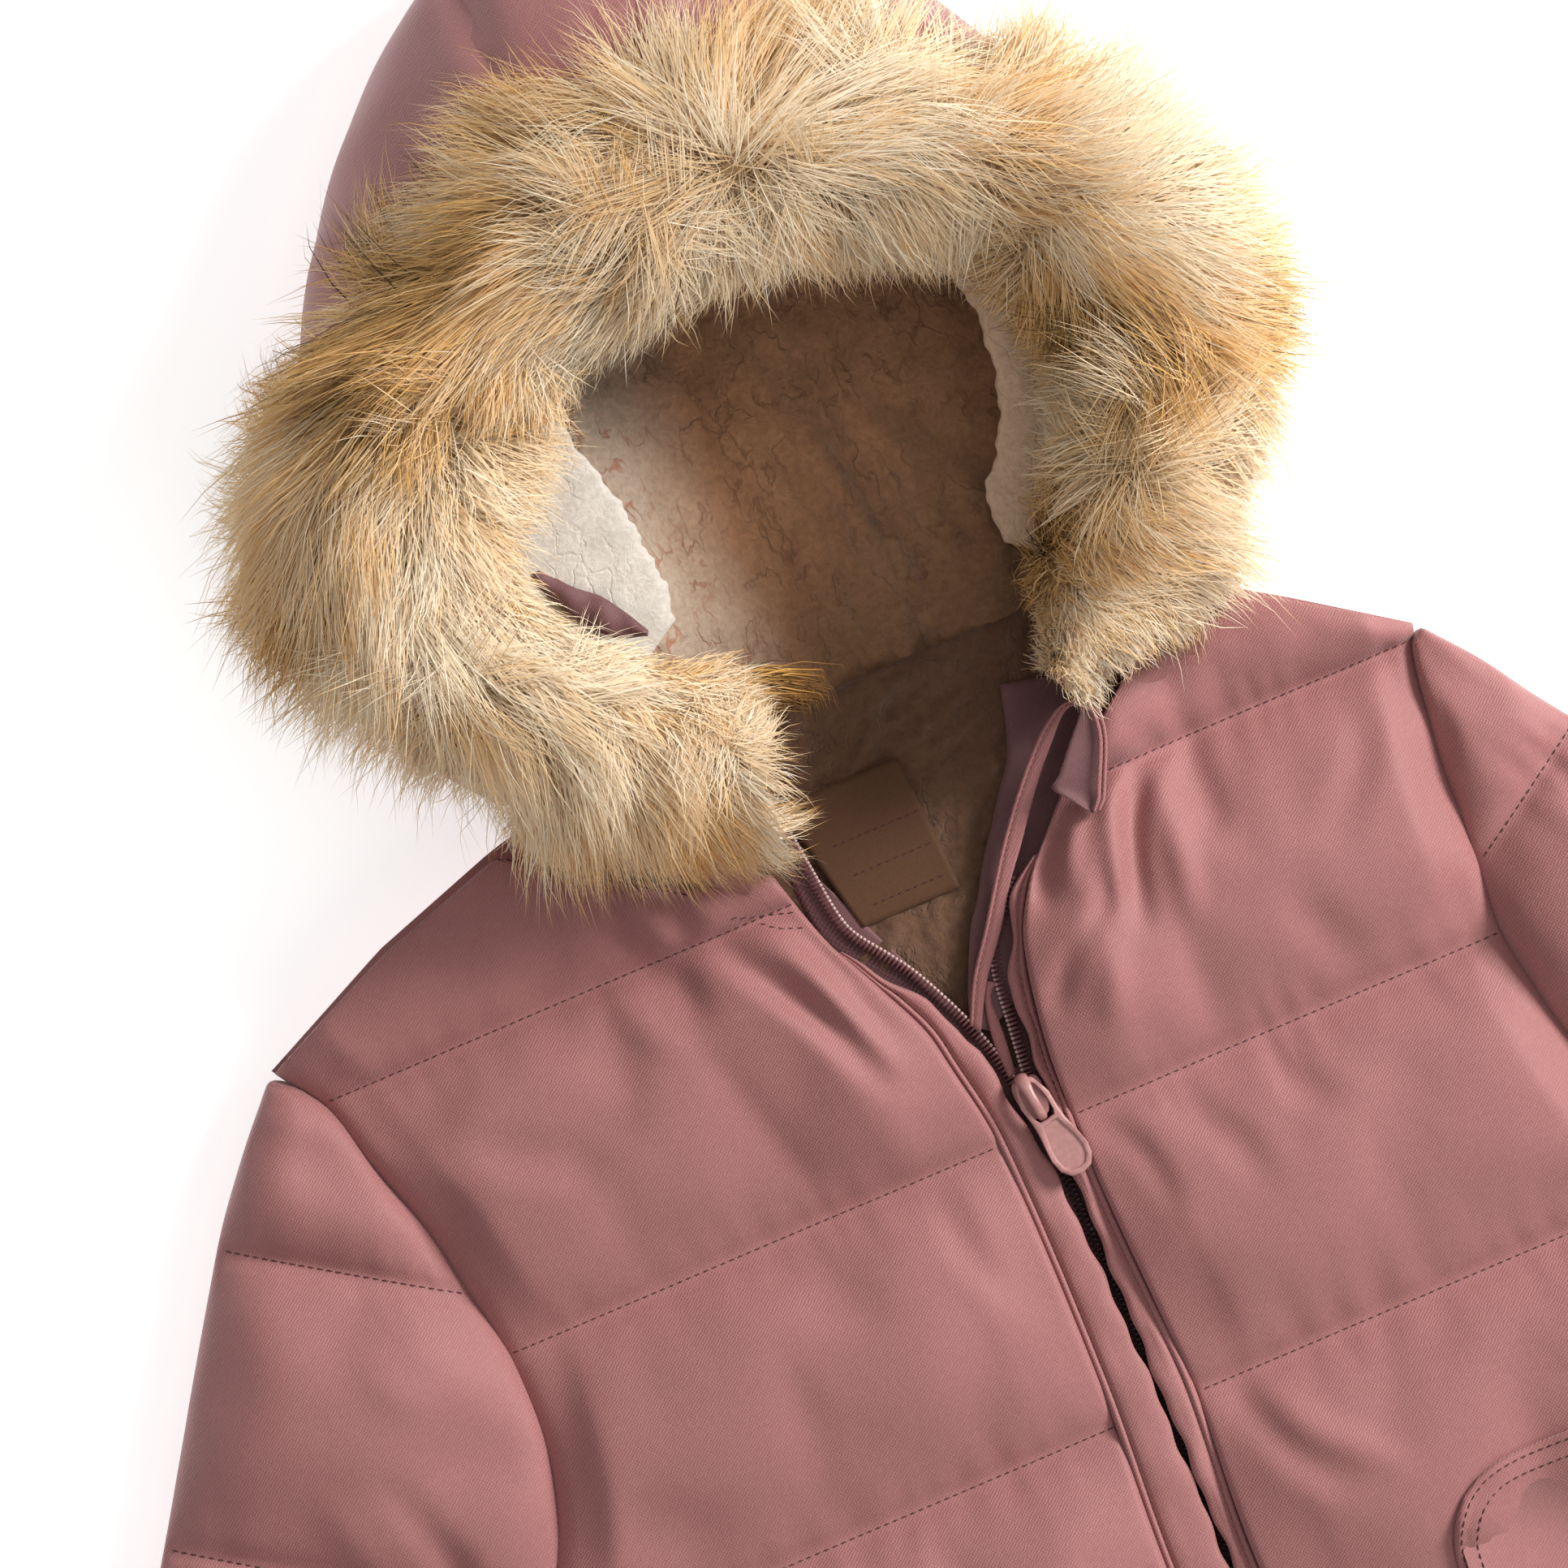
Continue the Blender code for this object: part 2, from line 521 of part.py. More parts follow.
def bowl_solid(name, outer_depth, inner_depth, material):
    """A layer of the hood: wall and floor between two depths inside the shell's outer side."""
    angles = hood_angles()
    floor = [i for i, a in enumerate(angles) if HOOD[2][0] <= a <= HOOD[-3][0]]
    layers = []
    for depth in (outer_depth, inner_depth):
        grid = []
        for i, a in enumerate(angles):
            section = inset(hood_section(a), depth) if depth else hood_section(a)
            if i in floor:
                section[0] = (section[0][0], depth)
            else:
                section = [(r, max(z, BACK_TOP + 1.0 + depth * 0.3)) for r, z in section]
            grid.append([hood_place(a, r, z) for r, z in section])
        layers.append(grid)
    rows, cols = len(angles), len(layers[0][0])
    points = [p for grid in layers for row in grid for p in row]
    corners = [[len(points) + 2 * k, len(points) + 2 * k + 1] for k in (0, 1)]
    for depth in (outer_depth, inner_depth):
        points += [(*HOOD_NECK[1], depth), (*HOOD_NECK[0], depth)]

    def at(layer, i, j):
        return layer * rows * cols + i * cols + j

    faces = []
    for layer in (0, 1):
        for i in range(rows - 1):
            for j in range(cols - 1):
                faces.append([at(layer, i, j), at(layer, i + 1, j), at(layer, i + 1, j + 1),
                              at(layer, i, j + 1)])
        faces.append([at(layer, i, 0) for i in floor] + corners[layer][::-1])
    for i in range(rows - 1):
        faces.append([at(0, i, cols - 1), at(0, i + 1, cols - 1), at(1, i + 1, cols - 1),
                      at(1, i, cols - 1)])
        if not (i in floor and i + 1 in floor):
            faces.append([at(0, i, 0), at(0, i + 1, 0), at(1, i + 1, 0), at(1, i, 0)])
    edge = [[at(k, floor[0], 0), *corners[k], at(k, floor[-1], 0)] for k in (0, 1)]
    for j in range(3):
        faces.append([edge[0][j], edge[0][j + 1], edge[1][j + 1], edge[1][j]])
    for i in (0, rows - 1):
        for j in range(cols - 1):
            faces.append([at(0, i, j), at(0, i, j + 1), at(1, i, j + 1), at(1, i, j)])
    return add_object(name, points, faces, material)


def part_by_seams(whole, names, seams, material):
    """Cut a hood layer into right, centre and left pieces along two seams."""
    far = 400.0
    edges = (-far, *seams, far)
    for k, name in enumerate(names):
        x0 = edges[k] + (GAP / 2 if k else 0.0)
        x1 = edges[k + 1] - (GAP / 2 if k < 2 else 0.0)
        box = [(x, y, z) for x in (x0, x1) for y in (-far, far) for z in (-far, far)]
        cutter = add_object(f"{name}_cutter", box,
                            [(0, 1, 3, 2), (4, 6, 7, 5), (0, 4, 5, 1), (2, 3, 7, 6), (0, 2, 6, 4),
                             (1, 5, 7, 3)], material, flat=True)
        cutter.hide_render = True
        cutter.display_type = "WIRE"
        piece = bpy.data.objects.new(name, whole.data.copy())
        bpy.context.scene.collection.objects.link(piece)
        cut = piece.modifiers.new("seam", "BOOLEAN")
        cut.operation = "INTERSECT"
        cut.solver = "EXACT"
        cut.object = cutter
    whole.hide_render = True
    whole.display_type = "WIRE"


def make_fur(material):
    """The fur's whole volume round the hood's edge, from its roots to its tips."""
    rings = []
    for a in hood_angles():
        shell, rim, fur_in, fur_out, foot, rim_z = hood_row(a)
        section = hood_section(a)
        over_edge = max(0.0, 1.0 - abs(fur_out - shell + 4.0) / 12.0)
        clear = inset(section, -FUR_STAND - 3.4 * over_edge)
        top = rim_z + FUR_HEIGHT
        shell_edge = clear[2][0]
        if foot > 6.0:
            lip = (fur_out, max(surface_height(clear, fur_out), FRONT_CLEAR))
            near = [midway(lip, clear[2]), clear[3]]
        elif fur_out > shell_edge:
            lip = (fur_out, 26.0)
            near = [(shell_edge + 0.6, 23.5), clear[3]]
        elif fur_out > clear[3][0]:
            lip = (fur_out, surface_height(clear, fur_out))
            near = [midway(lip, clear[3]), clear[3]]
        else:
            lip = (fur_out, surface_height(clear, fur_out))
            near = [midway(lip, midway(lip, clear[4])), midway(midway(lip, clear[4]), clear[4])]
        outline = [lip, *near, clear[4], clear[5]]
        inner = [(rim - 3.0, rim_z + 0.9), (fur_in + 1.0, rim_z - 0.5),
                 (fur_in, rim_z + 7.0), (fur_in + 0.2 * (fur_out - fur_in), top - 5.0),
                 ((fur_in + fur_out) / 2.0, top), (fur_out - 0.16 * (fur_out - fur_in), top - 13.0),
                 (fur_out + 0.5, max(rim_z - 6.0, outline[0][1] + 6.0))]
        rings.append([hood_place(a, r, z) for r, z in outline + inner])
    return ring_solid("fur_trim", rings, material)


def surface_height(section, radius):
    """Height of a section's upper side at a radius."""
    for (r0, z0), (r1, z1) in zip(section[::-1], section[-2::-1]):
        if r0 <= radius <= r1:
            return z0 + (z1 - z0) * (radius - r0) / (r1 - r0)
    return section[0][1]


def midway(a, b):
    return tuple((p + q) / 2.0 for p, q in zip(a, b))


def make_band(material):
    """The lining's turned-in band under the hood's edge."""
    depth = SHELL_WALL + LINING_WALL + 1.4
    over, under = [], []
    for a in spaced(BAND[0][0], BAND[-1][0], 28):
        _, rim, _, _, _, rim_z = hood_row(a)
        reach = min(curve_value(BAND, a), rim - 5.0)
        z = rim_z - depth
        stops = [(rim - 0.5, z), ((rim + reach) / 2.0, z - 1.0), (reach, z - 3.5)]
        over.append([hood_place(a, r, h) for r, h in stops])
        under.append([hood_place(a, r, h - 2.6) for r, h in stops])
    return layer_solid("hood_band", over, under, material)


# ---- neck lining and label -------------------------------------------------------------------------
def make_neck_lining(material):
    """The sherpa piece inside the back that shows in the neck opening."""
    rows = [(6.0, -7.0, 7.0), (24.0, -24.0, 18.0), (45.0, -37.0, 30.0), (62.0, -46.0, 42.0),
            (80.0, -52.0, 54.0), (99.3, -56.0, 60.0)]
    over, under = [], []
    for y, x0, x1 in rows:
        steps = [x0 + (x1 - x0) * f for f in (0.0, 0.06, 0.35, 0.65, 0.94, 1.0)]
        over.append([(x, y, FRONT_UNDER + (1.8 if x in (x0, x1) else 3.2)) for x in steps])
        under.append([(x, y, FRONT_UNDER) for x in steps])
    return layer_solid("neck_lining", over, under, material)


def make_label(material):
    """The bare cloth label sewn to the neck lining."""
    corners = [(-27.0, 80.0), (3.0, 80.0), (4.5, 47.0), (-20.0, 47.0)]
    z = FRONT_UNDER + 3.2 + GAP
    over, under = [], []
    for i in range(4):
        f = i / 3
        left = [corners[0][k] + (corners[3][k] - corners[0][k]) * f for k in (0, 1)]
        right = [corners[1][k] + (corners[2][k] - corners[1][k]) * f for k in (0, 1)]
        line = [(left[0] + (right[0] - left[0]) * g, left[1] + (right[1] - left[1]) * g)
                for g in (0.0, 0.5, 1.0)]
        over.append([(x, y, z + 0.8) for x, y in line])
        under.append([(x, y, z) for x, y in line])
    return layer_solid("neck_label", over, under, material)


# ---- zip ------------------------------------------------------------------------------------------
def make_zip(side, tape_material, strip_material):
    """One tape from hem to hood and the cloth strip beside it from the hem to the neck."""
    hand = -1.0 if side == "right" else 1.0
    upper = smooth_path(ZIP_LINE[side], 12)
    below = [(hand * 3.4 - 1.6, y, 12.2) for y in (HEM_Y + 6.0, -200.0, -110.0, -20.0)]
    widths = [5.4] * (len(below) + 6) + [5.4 - 0.45 * i for i in range(1, 7)]
    centre = below + [(x + hand * w / 2, y, z) for (x, y, z), w in zip(upper, widths[len(below):])]
    ribbon(f"zip_tape_{side}", centre, widths, 0.7, tape_material)
    over, under = [], []
    for y in spaced(HEM_Y + 2.0, STRIP_TOP[side], 19):
        outer = curve_value(FRONT_EDGE[side], y) - hand * 1.1
        if y > -12.0:
            zip_x = curve_value([(p[1], p[0]) for p in ZIP_LINE[side]], y)
            inner = zip_x + hand * (3.0 if y < 12.0 else 2.4)
        else:
            inner = -1.5 + hand * 1.3
        if (outer - inner) * hand < 2.5:
            inner = outer - hand * 2.5
        lift = 1.4 * min(max((y - 0.0) / 30.0, 0.0), 1.0) * 2.0
        over.append([(outer, y, 16.2 + lift), ((outer + inner) / 2, y, 17.2 + lift),
                     (inner, y, 16.4 + lift)])
        under.append([(outer, y, 14.4 + lift), ((outer + inner) / 2, y, 14.4 + lift),
                      (inner, y, 14.4 + lift)])
    layer_solid(f"edge_strip_{side}", over, under, strip_material)


def make_chin_guard(material):
    """The guard behind the left zip, its top end folded over."""
    over, under = [], []
    for x0, y0, x1, y1, z in GUARD:
        folded = GUARD.index((x0, y0, x1, y1, z)) > 6
        line = [(x0, y0), ((x0 + x1) / 2, (y0 + y1) / 2), (x1, y1)]
        over.append([(x, y, z + (-0.5 if folded else 0.5)) for x, y in line])
        under.append([(x, y, z + (0.5 if folded else -0.5)) for x, y in line])
    x0, y0, x1, y1, z = GUARD[6]
    tip = [(x0 + 0.9, y0 + 0.9), ((x0 + x1) / 2 + 0.9, (y0 + y1) / 2 + 0.9), (x1 + 0.9, y1 + 0.9)]
    over[6] = [(x - 0.9, y - 0.9, z + 0.2) for x, y in tip]
    under[6] = [(x, y, z + 0.2) for x, y in tip]
    return layer_solid("chin_guard", over, under, material)


def turned(points, degrees):
    """Plan points turned about the slider."""
    a = math.radians(degrees)
    return [(x * math.cos(a) - y * math.sin(a), x * math.sin(a) + y * math.cos(a), z)
            for x, y, z in points]


def join(base, extra, operation):
    """Union or cut base with extra, which then stays behind as a hidden guide."""
    change = base.modifiers.new(operation.lower(), "BOOLEAN")
    change.operation = operation
    change.solver = "EXACT"
    change.object = extra
    extra.hide_render = True
    extra.display_type = "WIRE"


def make_slider(material):
    """The zip's slider: a tapered plate over the coils with its bridge."""
    half_w, half_l = SLIDER_SIZE[0] / 2, SLIDER_SIZE[1] / 2
    outline = [(-half_w * 0.62, -half_l), (half_w * 0.62, -half_l), (half_w * 0.8, -half_l * 0.5),
               (half_w, half_l * 0.35), (half_w * 0.8, half_l), (-half_w * 0.8, half_l),
               (-half_w, half_l * 0.35), (-half_w * 0.8, -half_l * 0.5)]
    rings = [turned([(x * s, y * s, z) for x, y in outline], SLIDER_TURN)
             for s, z in ((0.9, 14.0), (1.0, 14.6), (1.0, 16.4), (0.86, 17.2))]
    plate = ring_solid("slider", rings, material)
    arch = [(0.0, math.cos(math.radians(a)) * BRIDGE_HALF,
             16.6 + math.sin(math.radians(a)) ** 0.5 * (BRIDGE_TOP - 16.6))
            for a in (0, 8, 22, 45, 68, 90, 112, 135, 158, 172, 180)]
    across = turned([(1.0, 0.0, 0.0)], SLIDER_TURN)[0]
    bridge = ribbon("slider_bridge", turned(arch, SLIDER_TURN), 2.6, 1.3, material, across)
    join(plate, bridge, "UNION")
    return plate


def make_pull(material):
    """The pull tab: a crossbar through the bridge, two arms and the waisted paddle."""
    half = TAB_WIDTH / 2
    outline = [(3.3, 0.9), (3.9, 0.0), (3.8, -4.0), (3.5, -9.0), (3.6, -12.0), (half * 0.92, -15.5),
               (half, -18.8), (half * 0.9, -21.6), (half * 0.55, -23.8), (0.0, -TAB_LENGTH)]
    outline += [(-x, y) for x, y in outline[-2::-1]]
    low, high = CROSSBAR_Z - TAB_THICK / 2, CROSSBAR_Z + TAB_THICK / 2
    rings = [turned([(x * s, y, z) for x, y in outline], TAB_TURN)
             for s, z in ((0.9, low), (1.0, low + 0.4), (1.0, high - 0.4), (0.9, high))]
    tab = ring_solid("pull_tab", rings, material)
    w, y0, y1 = WINDOW
    box = [turned([(x, y, z) for x, y in ((-w, y0), (w, y0), (w, y1), (-w, y1))], TAB_TURN)
           for z in (low - 2.0, high + 2.0)]
    join(tab, ring_solid("pull_window", box, material), "DIFFERENCE")
    return tab


# ---- pockets ---------------------------------------------------------------------------------------
def front_height(y):
    """Height of a front's upper face away from its edges, straight between its grid rows."""
    v = (y - HEM_Y) / ROW
    stops = BODY_STOPS + [float(ROWS)]
    k = max(i for i in range(len(stops) - 1) if stops[i] <= v)
    z0, z1 = front_top(stops[k], 0.5), front_top(stops[k + 1], 0.5)
    return z0 + (z1 - z0) * (v - stops[k]) / (stops[k + 1] - stops[k])


def make_pocket(side, material):
    """A patch pocket with round corners, lying on the quilted front."""
    x0, x1 = POCKET_X[side]
    rounds = (0.0, 0.07, 0.25, 0.55, 1.0)
    ys = {POCKET_TOP - POCKET_RADIUS * f for f in rounds}
    ys |= {POCKET_BASE + POCKET_RADIUS * f for f in rounds}
    ys |= {HEM_Y + v * ROW for v in BODY_STOPS if POCKET_BASE < HEM_Y + v * ROW < POCKET_TOP}
    over, under = [], []
    for y in sorted(ys):
        into = max(POCKET_RADIUS - min(POCKET_TOP - y, y - POCKET_BASE), 0.0)
        inset_x = POCKET_RADIUS - math.sqrt(POCKET_RADIUS ** 2 - min(into, POCKET_RADIUS) ** 2)
        rim_row = y in (min(ys), max(ys))
        steps = [x0 + inset_x + (x1 - x0 - 2 * inset_x) * f for f in (0, 0.05, 0.3, 0.7, 0.95, 1)]
        z = front_height(y) + GAP
        under.append([(x, y, z) for x in steps])
        over.append([(x, y, z + (1.4 if rim_row or i in (0, 5) else POCKET_THICK))
                     for i, x in enumerate(steps)])
    return layer_solid(f"pocket_{side}", over, under, material)


# ---- assembly ---------------------------------------------------------------------------------------
def main():
    for old in list(bpy.data.objects):
        bpy.data.objects.remove(old, do_unlink=True)
    shell = make_material("shell_cloth", (0.376, 0.192, 0.190), 0.55)
    sherpa = make_material("sherpa", (0.70, 0.63, 0.52), 0.95)
    fur = make_material("fur", (0.56, 0.36, 0.17), 0.9)
    tape = make_material("zip_tape", (0.24, 0.11, 0.12), 0.7)
    metal = make_material("zip_paint", (0.42, 0.21, 0.20), 0.4)
    paper = make_material("label_cloth", (0.50, 0.36, 0.22), 0.85)
    make_back(shell)
    for side in ("right", "left"):
        make_front(side, shell)
        make_sleeve(side, shell)
        make_zip(side, tape, shell)
        make_pocket(side, shell)
    whole_shell = bowl_solid("hood_whole", 0.0, SHELL_WALL, shell)
    part_by_seams(whole_shell, ("hood_right", "hood_centre", "hood_left"), SHELL_SEAMS, shell)
    inner = SHELL_WALL + 2 * GAP
    whole_lining = bowl_solid("lining_whole", inner, inner + LINING_WALL, sherpa)
    part_by_seams(whole_lining, ("hood_lining_right", "hood_lining_centre", "hood_lining_left"),
                  LINING_SEAMS, sherpa)
    make_band(sherpa)
    make_fur(fur)
    make_neck_lining(sherpa)
    make_label(paper)
    make_chin_guard(shell)
    make_slider(metal)
    make_pull(metal)


main()
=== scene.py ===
"""Dresses a small child's quilted puffer jacket that lies flat on its back with its hood open.

Frame: +X is the wearer's left, +Y runs up the zip to the hood, +Z is up from the surface.  Sizes in
the tables and functions are millimetres; meshes are made in metres.
"""
import math

import bpy
import numpy as np
from mathutils import Matrix, Vector
from mathutils.bvhtree import BVHTree


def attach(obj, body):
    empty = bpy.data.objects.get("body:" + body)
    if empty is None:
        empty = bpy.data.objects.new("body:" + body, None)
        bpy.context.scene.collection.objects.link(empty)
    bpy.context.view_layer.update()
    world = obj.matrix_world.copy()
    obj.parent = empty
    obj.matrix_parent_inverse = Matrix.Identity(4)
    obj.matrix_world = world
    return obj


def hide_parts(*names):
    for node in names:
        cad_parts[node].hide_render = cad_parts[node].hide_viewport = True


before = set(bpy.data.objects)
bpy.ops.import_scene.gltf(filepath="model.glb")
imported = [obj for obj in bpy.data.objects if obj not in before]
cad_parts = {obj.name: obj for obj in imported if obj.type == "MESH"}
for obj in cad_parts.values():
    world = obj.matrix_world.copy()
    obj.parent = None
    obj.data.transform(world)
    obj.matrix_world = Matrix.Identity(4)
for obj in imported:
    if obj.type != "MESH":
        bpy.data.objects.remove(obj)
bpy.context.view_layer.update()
MM = 0.001
FRAMES = 16                # steps of each padding simulation

# ---- sizes shared with the solids, mm ----------------------------------------------------------
ROW, HEM_Y, ROWS = 69.7, -290.0, 5
YOKE_Y = HEM_Y + ROWS * ROW
BACK_TOP = 9.0
FRONT_UNDER = 9.3
SEAM_THICK = 4.5           # padding left under a row of stitches
PUFF = 9.5
SLEEVE_ANGLE, SLEEVE_TOP, SLEEVE_MID = 33.2, 27.0, 12.5
SHELL_WALL, LINING_IN = 5.0, 5.8
HOOD_CENTRE = (3.0, 150.0)
RIM_LOW, RIM_HIGH = 37.0, 68.0
CROSSBAR_Z, SLIDER_TURN, TAB_TURN = 19.6, 3.0, 11.0

ARMHOLE = {
    "right": [(-158, 70), (-150.5, 58.5), (-146, 42), (-140, 23), (-136.5, 6), (-134, -14),
              (-134, -29), (-136, -42), (-141, -57), (-151, -74), (-164, -94)],
    "left": [(124, 62), (121.8, 54), (120, 44), (118, 30), (116.7, 10), (116, -10),
             (118, -28), (121, -42), (125, -57), (132, -75), (142, -94)],
}
SIDE_SEAM = {
    "right": [(-290, -160), (-220, -163), (-150, -165), (-94, -164)],
    "left": [(-290, 139), (-220, 142), (-150, 144), (-94, 142)],
}
FRONT_EDGE = {
    "right": [(-290, -13), (-200, -13.5), (-115, -13), (-70, -10.5), (-10, -10.5), (11, -13.8),
              (20, -15.6), (31, -20.5), (40, -24.8), (45.5, -27.6), (53, -30.2), (58.5, -31.8)],
    "left": [(-290, 7.5), (-200, 6.5), (-118, 6), (-79, 8.5), (-61, 8), (-29, 7), (-8, 7.3),
             (5, 7.9), (18, 9.7), (26, 11.4), (33, 13.6), (43, 19.8), (50, 26.4), (58.5, 34.5)],
}
FRONT_TOP = {
    "right": [(-158, 70), (-124, 86), (-91, 97), (-70, 84), (-52, 71), (-34, 67)],
    "left": [(124, 62), (101, 78), (78, 93), (66, 85), (55, 76), (37.5, 61.5)],
}
BACK_NECK = [(-80, 99.4), (74, 99.4)]
HOOD_NECK = [(70.0, 99.8), (-74.0, 99.8)]
COIL_LINE = {              # x, y, z along the two open coils
    "right": [(-2.0, 0.5, 13.2), (-3.6, 7.8, 13.3), (-5.9, 15.3, 13.4), (-8.8, 22.6, 13.5),
              (-13.3, 32.1, 13.6), (-17.3, 38.3, 13.8), (-22.9, 46.3, 14.6), (-25.0, 53, 15.8),
              (-26.2, 62.7, 18.5), (-27.2, 71, 22.5), (-28.4, 81, 27)],
    "left": [(1.8, 1, 12.9), (2.8, 9.6, 12.9), (3.4, 15, 12.9), (3.9, 20.3, 13.0), (4.8, 26.5, 13.1),
             (6.6, 31.6, 13.3), (11, 37, 13.6), (18, 44, 14)],
}
STRIP_INNER = {            # y, x of the cloth strips' edges beside the zip
    "right": [(-290, -1.2), (-110, 0.0), (-75, 0.2), (-50, -0.3), (-30, -0.9), (-16, -2.1), (-5.5, -3.7),
              (0.8, -5.0), (7.1, -5.5), (10.8, -6.2), (13.9, -8.2), (18.3, -9.4), (22.9, -10.9),
              (26.6, -13.0), (29.7, -15.9), (33.4, -19.2), (40.5, -24.0), (45, -27)],
    "left": [(-290, 0.4), (-110, 1.0), (-75, 1.4), (-50, 1.9), (-31, 2.2), (-21, 2.5), (-6.5, 4.0),
             (1.4, 4.4), (8.5, 5.3), (13.5, 5.4), (18.7, 5.2), (23.2, 5.6), (26, 7.4), (30, 10.6),
             (36, 12.2), (42, 15.4), (48, 23.4)],
}
SLEEVE_EDGES = {           # along the sleeve, free outer edge, inner edge
    "right": [(28, -170.4, -170), (49, -173.5, -141), (70, -175.5, -118), (139, -175.5, -86),
              (172, -176, -86), (240, -176, -86), (300, -175, -87), (333, -173, -86)],
    "left": [(16, -137.7, -137), (34, -139.2, -120), (60, -140, -100), (130, -146, -67),
             (156, -148, -66), (240, -150, -65), (290, -150, -64), (322, -148, -63)],
}
SLEEVE_ROWS = {"right": 70.0, "left": 59.0}
HOOD = [                   # angle, shell outline, front edge, fur inside, fur outside, foot height
    (-60, 89.0, 80.0, 64.0, 91.0, 24.0), (-45, 90.0, 74.0, 52.0, 101.0, 22.0),
    (-30, 101.0, 70.0, 54.0, 110.0, 0.0), (-12, 107.0, 72.0, 61.0, 122.0, 0.0),
    (6, 110.0, 72.0, 62.0, 131.0, 0.0), (24, 109.0, 68.0, 60.0, 128.0, 0.0),
    (42, 110.0, 61.0, 50.0, 114.0, 0.0), (60, 122.0, 54.0, 41.0, 108.0, 0.0),
    (76, 137.0, 50.0, 37.0, 107.0, 0.0), (90, 145.0, 49.0, 36.0, 107.0, 0.0),
    (104, 138.0, 51.0, 37.0, 106.0, 0.0), (117, 128.0, 54.0, 40.0, 104.0, 0.0),
    (130, 119.0, 58.0, 45.0, 110.0, 0.0), (143, 113.0, 63.0, 51.0, 122.0, 0.0),
    (156, 110.0, 67.0, 57.0, 130.0, 0.0), (172, 110.0, 71.0, 60.0, 132.0, 0.0),
    (190, 108.0, 70.0, 54.0, 116.0, 0.0), (208, 100.0, 68.0, 47.0, 104.0, 0.0),
    (228, 96.5, 70.0, 40.0, 92.0, 22.0), (244, 98.0, 77.0, 50.0, 92.0, 24.0),
]
BAND = [(-40, 54), (-30, 47.5), (-16, 50), (0, 53.5), (8, 55), (22, 58), (40, 56), (60, 47), (90, 43),
        (120, 47), (138, 52), (148, 47.5), (154, 43), (163, 38.5), (174, 35.5), (190, 35), (203, 36.5), (212, 41)]
POCKET_TOP, POCKET_BASE, POCKET_RADIUS = -121.0, -211.0, 20.0
POCKET_X = {"right": (-146.0, -68.0), "left": (48.0, 126.0)}
GUARD = [                  # stitched edge, inner edge, height, along the guard and over its fold
    (-6.0, 17.0, -4.4, 14.2, 14.6), (-1.2, 26.4, 1.5, 24.6, 15.6), (5.8, 36.1, 8.8, 33.9, 17.0),
    (12.0, 45.2, 15.4, 43.6, 18.6), (17.3, 52.7, 21.0, 50.6, 20.2), (22.9, 59.7, 26.9, 58.4, 22.0),
    (28.9, 66.6, 32.0, 64.6, 24.2), (34.2, 71.9, 36.4, 69.4, 26.2), (38.5, 75.0, 39.9, 73.2, 27.8),
    (41.7, 76.4, 42.3, 74.9, 29.0), (44.7, 76.3, 44.3, 74.9, 29.8), (47.3, 75.2, 44.7, 73.4, 30.2),
    (48.9, 72.6, 43.2, 71.4, 30.2), (49.0, 69.4, 41.2, 69.2, 30.0), (48.3, 65.8, 38.8, 66.5, 29.6),
    (46.8, 62.0, 36.4, 63.8, 29.2), (45.2, 58.6, 34.2, 61.4, 28.8), (43.6, 55.2, 32.1, 59.6, 28.4),
    (42.4, 52.8, 35.0, 55.4, 28.2), (40.4, 50.8, 38.2, 51.0, 28.0)]
FACING = [                 # the shaded facing behind the guard: free edge, far edge under the front
    (-6.0, 16.6, -2.0, 13.6), (-3.1, 24.7, 8.0, 20.0), (2.9, 37.3, 16.0, 32.0), (6.5, 42.2, 22.0, 39.0),
    (12.0, 51.0, 30.0, 46.5), (16.5, 57.0, 37.0, 54.0), (20.7, 63.0, 44.0, 60.0), (25.6, 69.5, 50.0, 66.5),
    (28.6, 77.0, 55.0, 73.0), (31.0, 86.0, 58.0, 80.0)]
# creases of the fronts: x, y at one end, x, y at the other, half width, height
FRONT_FOLDS = [
    (-52, 60, -28, 10, 5.5, -4.4), (-44, 58, -24, 14, 4, 2.6), (-37, 56, -20, 20, 3, -1.8),
    (-74, 81, -67, 60, 5, -2.6), (-63, 74.5, -54.5, 61.5, 5, -3.2), (-69, 78, -61, 61, 4.5, 2.0),
    (-82, 88, -79, 62, 6, 1.6), (-70, 60, -60, 42, 6, -2.0), (-80, 58, -66, 36, 8, 1.4),
    (53, 57, 37, 22, 5, -4.4), (48, 57, 34, 30, 4.5, 3.0), (34, 53, 18, 36, 4, -3.8),
    (40, 57, 26, 36, 4, 2.4), (37, 38, 27, 25, 3.5, -2.4), (60, 57, 48, 20, 5.5, 2.6),
    (28, 25, 11, 14, 4, -2.0), (67, 57, 60, 34, 6, -1.8), (35, 21, 22, 6, 5, 1.4),
    (-128, 42, -96, 18, 9, -1.6), (-120, 50, -84, 34, 10, 1.2), (106, 50, 86, 22, 7, -1.4),
    (14, -84, 34, -114, 6, -1.8), (22, -84, 46, -118, 6, 1.4), (30, -14, 44, -44, 7, -1.3),
    (12, -14, 24, -40, 5, -1.5), (-124, -84, -90, -112, 9, -1.5), (-60, -86, -52, -116, 8, -1.2),
    (52, -12, 66, -34, 7, -1.2), (70, 20, 84, -6, 9, -1.0), (-30, -14, -22, -44, 6, -1.2),
]


